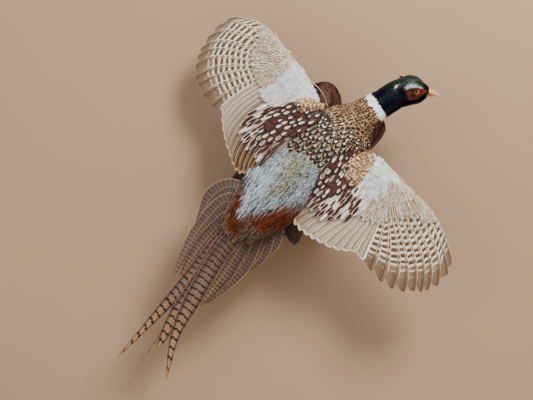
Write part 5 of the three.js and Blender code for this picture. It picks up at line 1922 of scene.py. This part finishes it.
def move_out(piece, amount):
    """Moves each vertex along its normal by amount(place, normal), all in millimetres."""
    co, out = coordinates(piece.data) / MM, facings(piece.data)
    moved = co + out * np.array([amount(Vector(p), Vector(n)) for p, n in zip(co, out)])[:, None]
    set_coordinates(piece.data, moved * MM)


paint = Paint("bare red face", Roughness=0.55, Specular_IOR_Level=0.35)
grain = paint.noise(420.0, 4.0)
bead = paint.node("ShaderNodeTexVoronoi", inputs={"Vector": paint.place(), "Scale": 620.0}, output="Distance")
red = paint.mix(grain, rgb(132, 34, 28), rgb(206, 70, 54))
red = paint.mix(bead.step(0.55, 0.25) * 0.5, rgb(96, 16, 14), red)
fleck = paint.noise(260.0, 2.0).step(0.6, 0.66)
red = red.covered(fleck * 0.7, 46, 16, 16)
red = red.covered(paint.value("Dark"), 12, 8, 9)
red_skin = paint.finished(red, bead * -1.0 + grain * 0.4, 0.0005, 0.7)
for side in ("right", "left"):
    face = remeshed_copy(f"bare_face_{side}", f"wattle_{side}", 0.0006, 3)
    move_out(face, lambda p, n: 0.35 * max(0.0, 0.75 - pattern_noise.voronoi(p * 0.85)[0][0] * 1.2))
    way = 1 if side == "right" else -1
    co = coordinates(face.data) / MM + HEAD_SIDE * 0.6 * way - HEAD_AXIS * 2.6
    set_coordinates(face.data, co * MM)
    flat = beside_eye(co)
    patch = smooth(1.3, 0.7, np.hypot((flat[:, 0] + 6.2) / 5.6, (flat[:, 1] + 7.8) / 3.4))
    spot = smooth(1.2, 0.8, np.hypot((flat[:, 0] - 8.5) / 2.6, (flat[:, 1] + 0.5) / 1.5))
    patch = np.maximum(np.maximum(patch, spot), smooth(0.9, -0.6, inside_flat(flat, RED)))
    give(face.data, "Dark", patch)
    finish_piece(face, red_skin, [f"wattle_{side}"])

# %% Bill
paint = Paint("ivory bill", Roughness=0.38, Specular_IOR_Level=0.5)
bill_root = NECK[10, :3]
run = paint.distance(tuple(bill_root * MM))
grain = paint.noise(500.0, 4.0)
colour = paint.mix(run.step(2.0, 14.0), rgb(158, 120, 74), rgb(222, 192, 140))
colour = colour.covered(grain * 0.6, 172, 132, 82)
bill_horn = paint.finished(colour, grain, 0.0003, 0.4)
NOSTRIL = [bill_root + HEAD_AXIS * 6.0 + HEAD_UP * 3.6 + HEAD_SIDE * 4.4 * way for way in (1, -1)]


def nostril_press(p, n):
    press = 0.8
    for spot in NOSTRIL:
        off = p - Vector(spot)
        ahead, up = off.dot(Vector(HEAD_AXIS)), off.dot(Vector(HEAD_UP))
        near = math.hypot(ahead / 3.0, (up + 0.12 * ahead) / 1.1)
        if off.length < 6:
            press -= 1.3 * max(0.0, 1 - near) ** 0.5
            press += 0.5 * math.exp(-((near - 1.5) / 0.35) ** 2)
    return press


for half in ("upper", "lower"):
    horn = remeshed_copy(f"horn_bill_{half}", f"bill_{half}", 0.0005, 4)
    move_out(horn, nostril_press if half == "upper" else lambda p, n: 0.6)
    shift = HEAD_UP * 0.6 if half == "upper" else HEAD_UP * -0.4 - HEAD_AXIS * 2.0
    set_coordinates(horn.data, coordinates(horn.data) + shift * MM)
    finish_piece(horn, bill_horn, [f"bill_{half}"])

# %% Ear tufts
def standing(pattern, root, ahead, side, length, half):
    """Feathers that stand from their roots along their own directions, in millimetres."""
    x, y, z = pattern["points"].T[:, None, :]
    ahead, side = unit(ahead)[:, None, :], unit(side)[:, None, :]
    up = np.cross(side, ahead)
    length, half = columns_of(len(root), length, half)
    rise = 0.12 * half * z * (1 - (x / np.abs(x).max()) ** 2)
    return (root[:, None, :] + side * (x * half)[..., None] + ahead * (y * length)[..., None]
            + up * rise[..., None])


parts = []
for way in (1, -1):
    near = neck_form(np.array(6.4), np.array(math.radians(40))) - HEAD_SIDE * 0.8
    root = near if way > 0 else other_side(near)
    count = 16
    lean = -HEAD_AXIS - 0.2 * HEAD_UP + 0.25 * way * HEAD_SIDE + rng.normal(0, 0.1, (count, 3))
    start = root + rng.normal(0, 1.1, (count, 3)) + HEAD_AXIS * 1.0
    spread = np.broadcast_to(HEAD_UP, (count, 3)) + rng.normal(0, 0.4, (count, 3))
    laid = standing(HAIRY, start, lean, spread - unit(lean) * np.sum(spread * unit(lean), axis=1)[:, None],
                    rng.uniform(9, 13, count), 0.9)
    parts.append((HAIRY, laid, map_in_row(count, 0 if way > 0 else 1, 2),
                  {"Tone": shade(count), "Base": np.tile(tint(14, 22, 30), (count, 1))}))
feather_piece("ear_tufts", parts, hood_vanes, ["ear_tuft_right", "ear_tuft_left"])

# %% [markdown]
# ## Legs
# The legs fold back under the tail. Copies of their solids are remeshed fine, ringed with scales by
# moving the surface in and out along the leg, and each toe ends in a dark curved claw.

# %% Scaly legs and claws
LEGS = {"right": {"hock": (-16, -55, -160), "ankle": (-63, -44, -190), "toes": (-104, -40, -218)},
        "left": {"hock": (-118, -57, -64), "ankle": (-146, -46, -112), "toes": (-166, -42, -158)}}
paint = Paint("grey leg scales", Roughness=0.5, Specular_IOR_Level=0.45)
cell = paint.node("ShaderNodeTexVoronoi", {"feature": "DISTANCE_TO_EDGE"},
                  {"Vector": paint.place(), "Scale": 330.0}, "Distance")
grain = paint.noise(300.0, 3.0)
colour = paint.mix(grain, rgb(116, 106, 94), rgb(168, 156, 138))
colour = colour.covered(cell.step(0.12, 0.02) * 0.7, 66, 56, 48)
leg_scales = paint.finished(colour, cell.step(0.0, 0.16), 0.0005, 0.7)
paint = Paint("dark claw", Roughness=0.35, Specular_IOR_Level=0.5)
grain = paint.noise(700.0, 3.0)
colour = paint.mix(grain, rgb(40, 34, 30), rgb(92, 80, 68))
claw_horn = paint.finished(colour, grain, 0.0002, 0.5)

for side, leg in LEGS.items():
    start, end = np.array(leg["hock"], float), np.array(leg["ankle"], float)
    run = unit(end - start)
    shank = remeshed_copy(f"scaly_shank_{side}", f"shank_{side}", 0.0011, 2)
    move_out(shank, lambda p, n: 0.22 * abs(math.sin((np.array(p) - start) @ run * 1.05)) ** 0.5)
    finish_piece(shank, leg_scales, [f"shank_{side}"])
    foot = remeshed_copy(f"scaly_foot_{side}", f"foot_{side}", 0.0010, 2)
    move_out(foot, lambda p, n: 0.18 * abs(math.sin((np.array(p) - start) @ run * 1.4)) ** 0.5)
    finish_piece(foot, leg_scales, [f"foot_{side}"])

    wallward = np.array([0, 1.0, 0])
    sideways = unit(np.cross(run, wallward))
    root = end + run * 5.5
    claws = bmesh.new()
    for spread, share, curl in ((0, 1, 8), (15, 0.85, 7), (-15, 0.8, 7), (-4, 0.35, 16)):
        tip = root + (np.array(leg["toes"], float) - root) * share + sideways * spread + wallward * curl
        ahead = unit(tip - root)
        first = len(claws.verts)
        bmesh.ops.create_cone(claws, cap_ends=True, segments=10, radius1=1.5 * MM, radius2=0.15 * MM,
                              depth=9 * MM, matrix=turned_to(ahead, tip + ahead * 2.5))
        claws.verts.ensure_lookup_table()
        new = set(claws.verts[first:])
        long_edges = [e for e in claws.edges if e.verts[0] in new and e.calc_length() > 5 * MM]
        bmesh.ops.subdivide_edges(claws, edges=long_edges, cuts=4)
        claws.verts.ensure_lookup_table()
        for v in claws.verts[first:]:
            far = max(0.0, (np.array(v.co) / MM - tip) @ ahead)
            v.co += Vector(wallward * far * far * 0.045 * MM)
    finish_piece(piece_of(claws, f"claws_{side}"), claw_horn)

# %% [markdown]
# ## Driftwood and hanger
# The wood that carries the bird is weathered and varnished: long grooves follow its grain, knots and
# pits break it, and its colour runs from orange-brown to nearly black in the hollows.

# %% Wood
paint = Paint("varnished driftwood", Roughness=0.55, Specular_IOR_Level=0.15)
place = paint.place()
turned = paint.node("ShaderNodeMapping", inputs={
    "Vector": place, "Rotation": (0, math.radians(-20), 0), "Scale": (1.0, 1.0, 0.28)})
long_grain = paint.noise(42.0, 6.0, 0.62, 1.2, at=turned)
patches = paint.noise(26.0, 4.0, 0.6, 0.6)
pits = paint.noise(210.0, 2.0)
colour = paint.mix(long_grain, rgb(50, 35, 27), rgb(112, 77, 55))
colour = colour.covered(long_grain.step(0.5, 0.38), 38, 26, 20)
colour = colour.covered(patches.step(0.48, 0.58) * 0.92, 22, 17, 15)
colour = colour.covered(patches.step(0.42, 0.34) * 0.4, 150, 92, 56)
colour = colour.covered(pits.step(0.6, 0.68) * 0.85, 18, 11, 9)
paint.set(Base_Color=colour, Roughness=patches.step(0.3, 0.7) * 0.25 + 0.5)
varnished_wood = paint.bump(long_grain + pits.step(0.7, 0.6) * 0.3, 0.003, 0.8).material
wood = remeshed_copy("weathered_driftwood", "driftwood", 0.0022, 2)


def weather(p, n):
    if p.y > -3:
        return 0.0
    q = Vector((p.x * 0.06 + p.z * 0.02, p.y * 0.05, p.z * 0.018))
    groove = pattern_noise.fractal(q, 1.0, 2.0, 4)
    return -1.6 * abs(groove) - 0.8 * max(0.0, pattern_noise.noise(p * 0.11)) - 0.2


move_out(wood, weather)
finish_piece(wood, varnished_wood, ["driftwood"])

paint = Paint("brushed steel", Metallic=1.0, Roughness=0.35)
stretched = paint.node("ShaderNodeMapping", inputs={"Vector": paint.place(), "Scale": (30.0, 400.0, 400.0)})
brushed = paint.noise(6.0, 3.0, at=stretched)
plain_steel = paint.set(Base_Color=paint.mix(brushed, rgb(140, 140, 142), rgb(196, 196, 198)),
                Roughness=brushed * 0.2 + 0.26).bump(brushed, 0.0002, 0.4).material
wear(nodes["hanger_plate"], plain_steel)

# %% Skin colours and the small leftovers
paint = Paint("skin under the coat", Roughness=0.7)
grain = paint.noise(300.0, 3.0)
colour = paint.mix(grain * 0.6, paint.colour("Marking"), rgb(60, 48, 38))
skin_paint = paint.finished(colour, grain, 0.0005, 0.4)
co = coordinates(skin.data) / MM
up = facings(skin.data) @ BACK
marking = np.tile(tint(170, 160, 146), (len(co), 1))
body = smooth(4, -4, np.abs((co - BACK_MIDDLE) @ TO_LEFT) - 66)[:, None]
marking = blend(marking, np.where(up[:, None] > -0.2, tint(120, 112, 100), tint(44, 32, 24)), body)
for zone, colour in (("mantle", tint(100, 72, 44)), ("olive", tint(110, 110, 84)), ("rump", tint(84, 62, 42)),
                     ("left rust", tint(84, 44, 24)), ("right rust", tint(66, 32, 14)),
                     ("breast", tint(58, 30, 30))):
    marking = blend(marking, colour, (share_of(co, zone) * (up > -0.3))[:, None])
far_neck = (co - NECK[3, :3]) @ unit(NECK[6, :3] - NECK[3, :3])
off_wing = smooth(60, 40, np.linalg.norm(co - NECK[5, :3], axis=1))
marking = blend(marking, tint(214, 214, 212),
                (smooth(-3, 1, far_neck) * off_wing * (co[:, 0] > 120))[:, None])
marking = blend(marking, tint(14, 20, 28),
                (smooth(11, 14, far_neck) * (co[:, 0] > 140) * (co[:, 2] > 40))[:, None])
for thigh in THIGHS.values():
    near = np.linalg.norm(co[:, None] - along(thigh[0], np.linspace(0.3, 1, 12))[None], axis=2).min(1)
    marking = blend(marking, tint(60, 42, 26), smooth(36, 28, near)[:, None] * (up < 0.3)[:, None])
give(skin.data, "Marking", marking)
wear(skin, skin_paint)
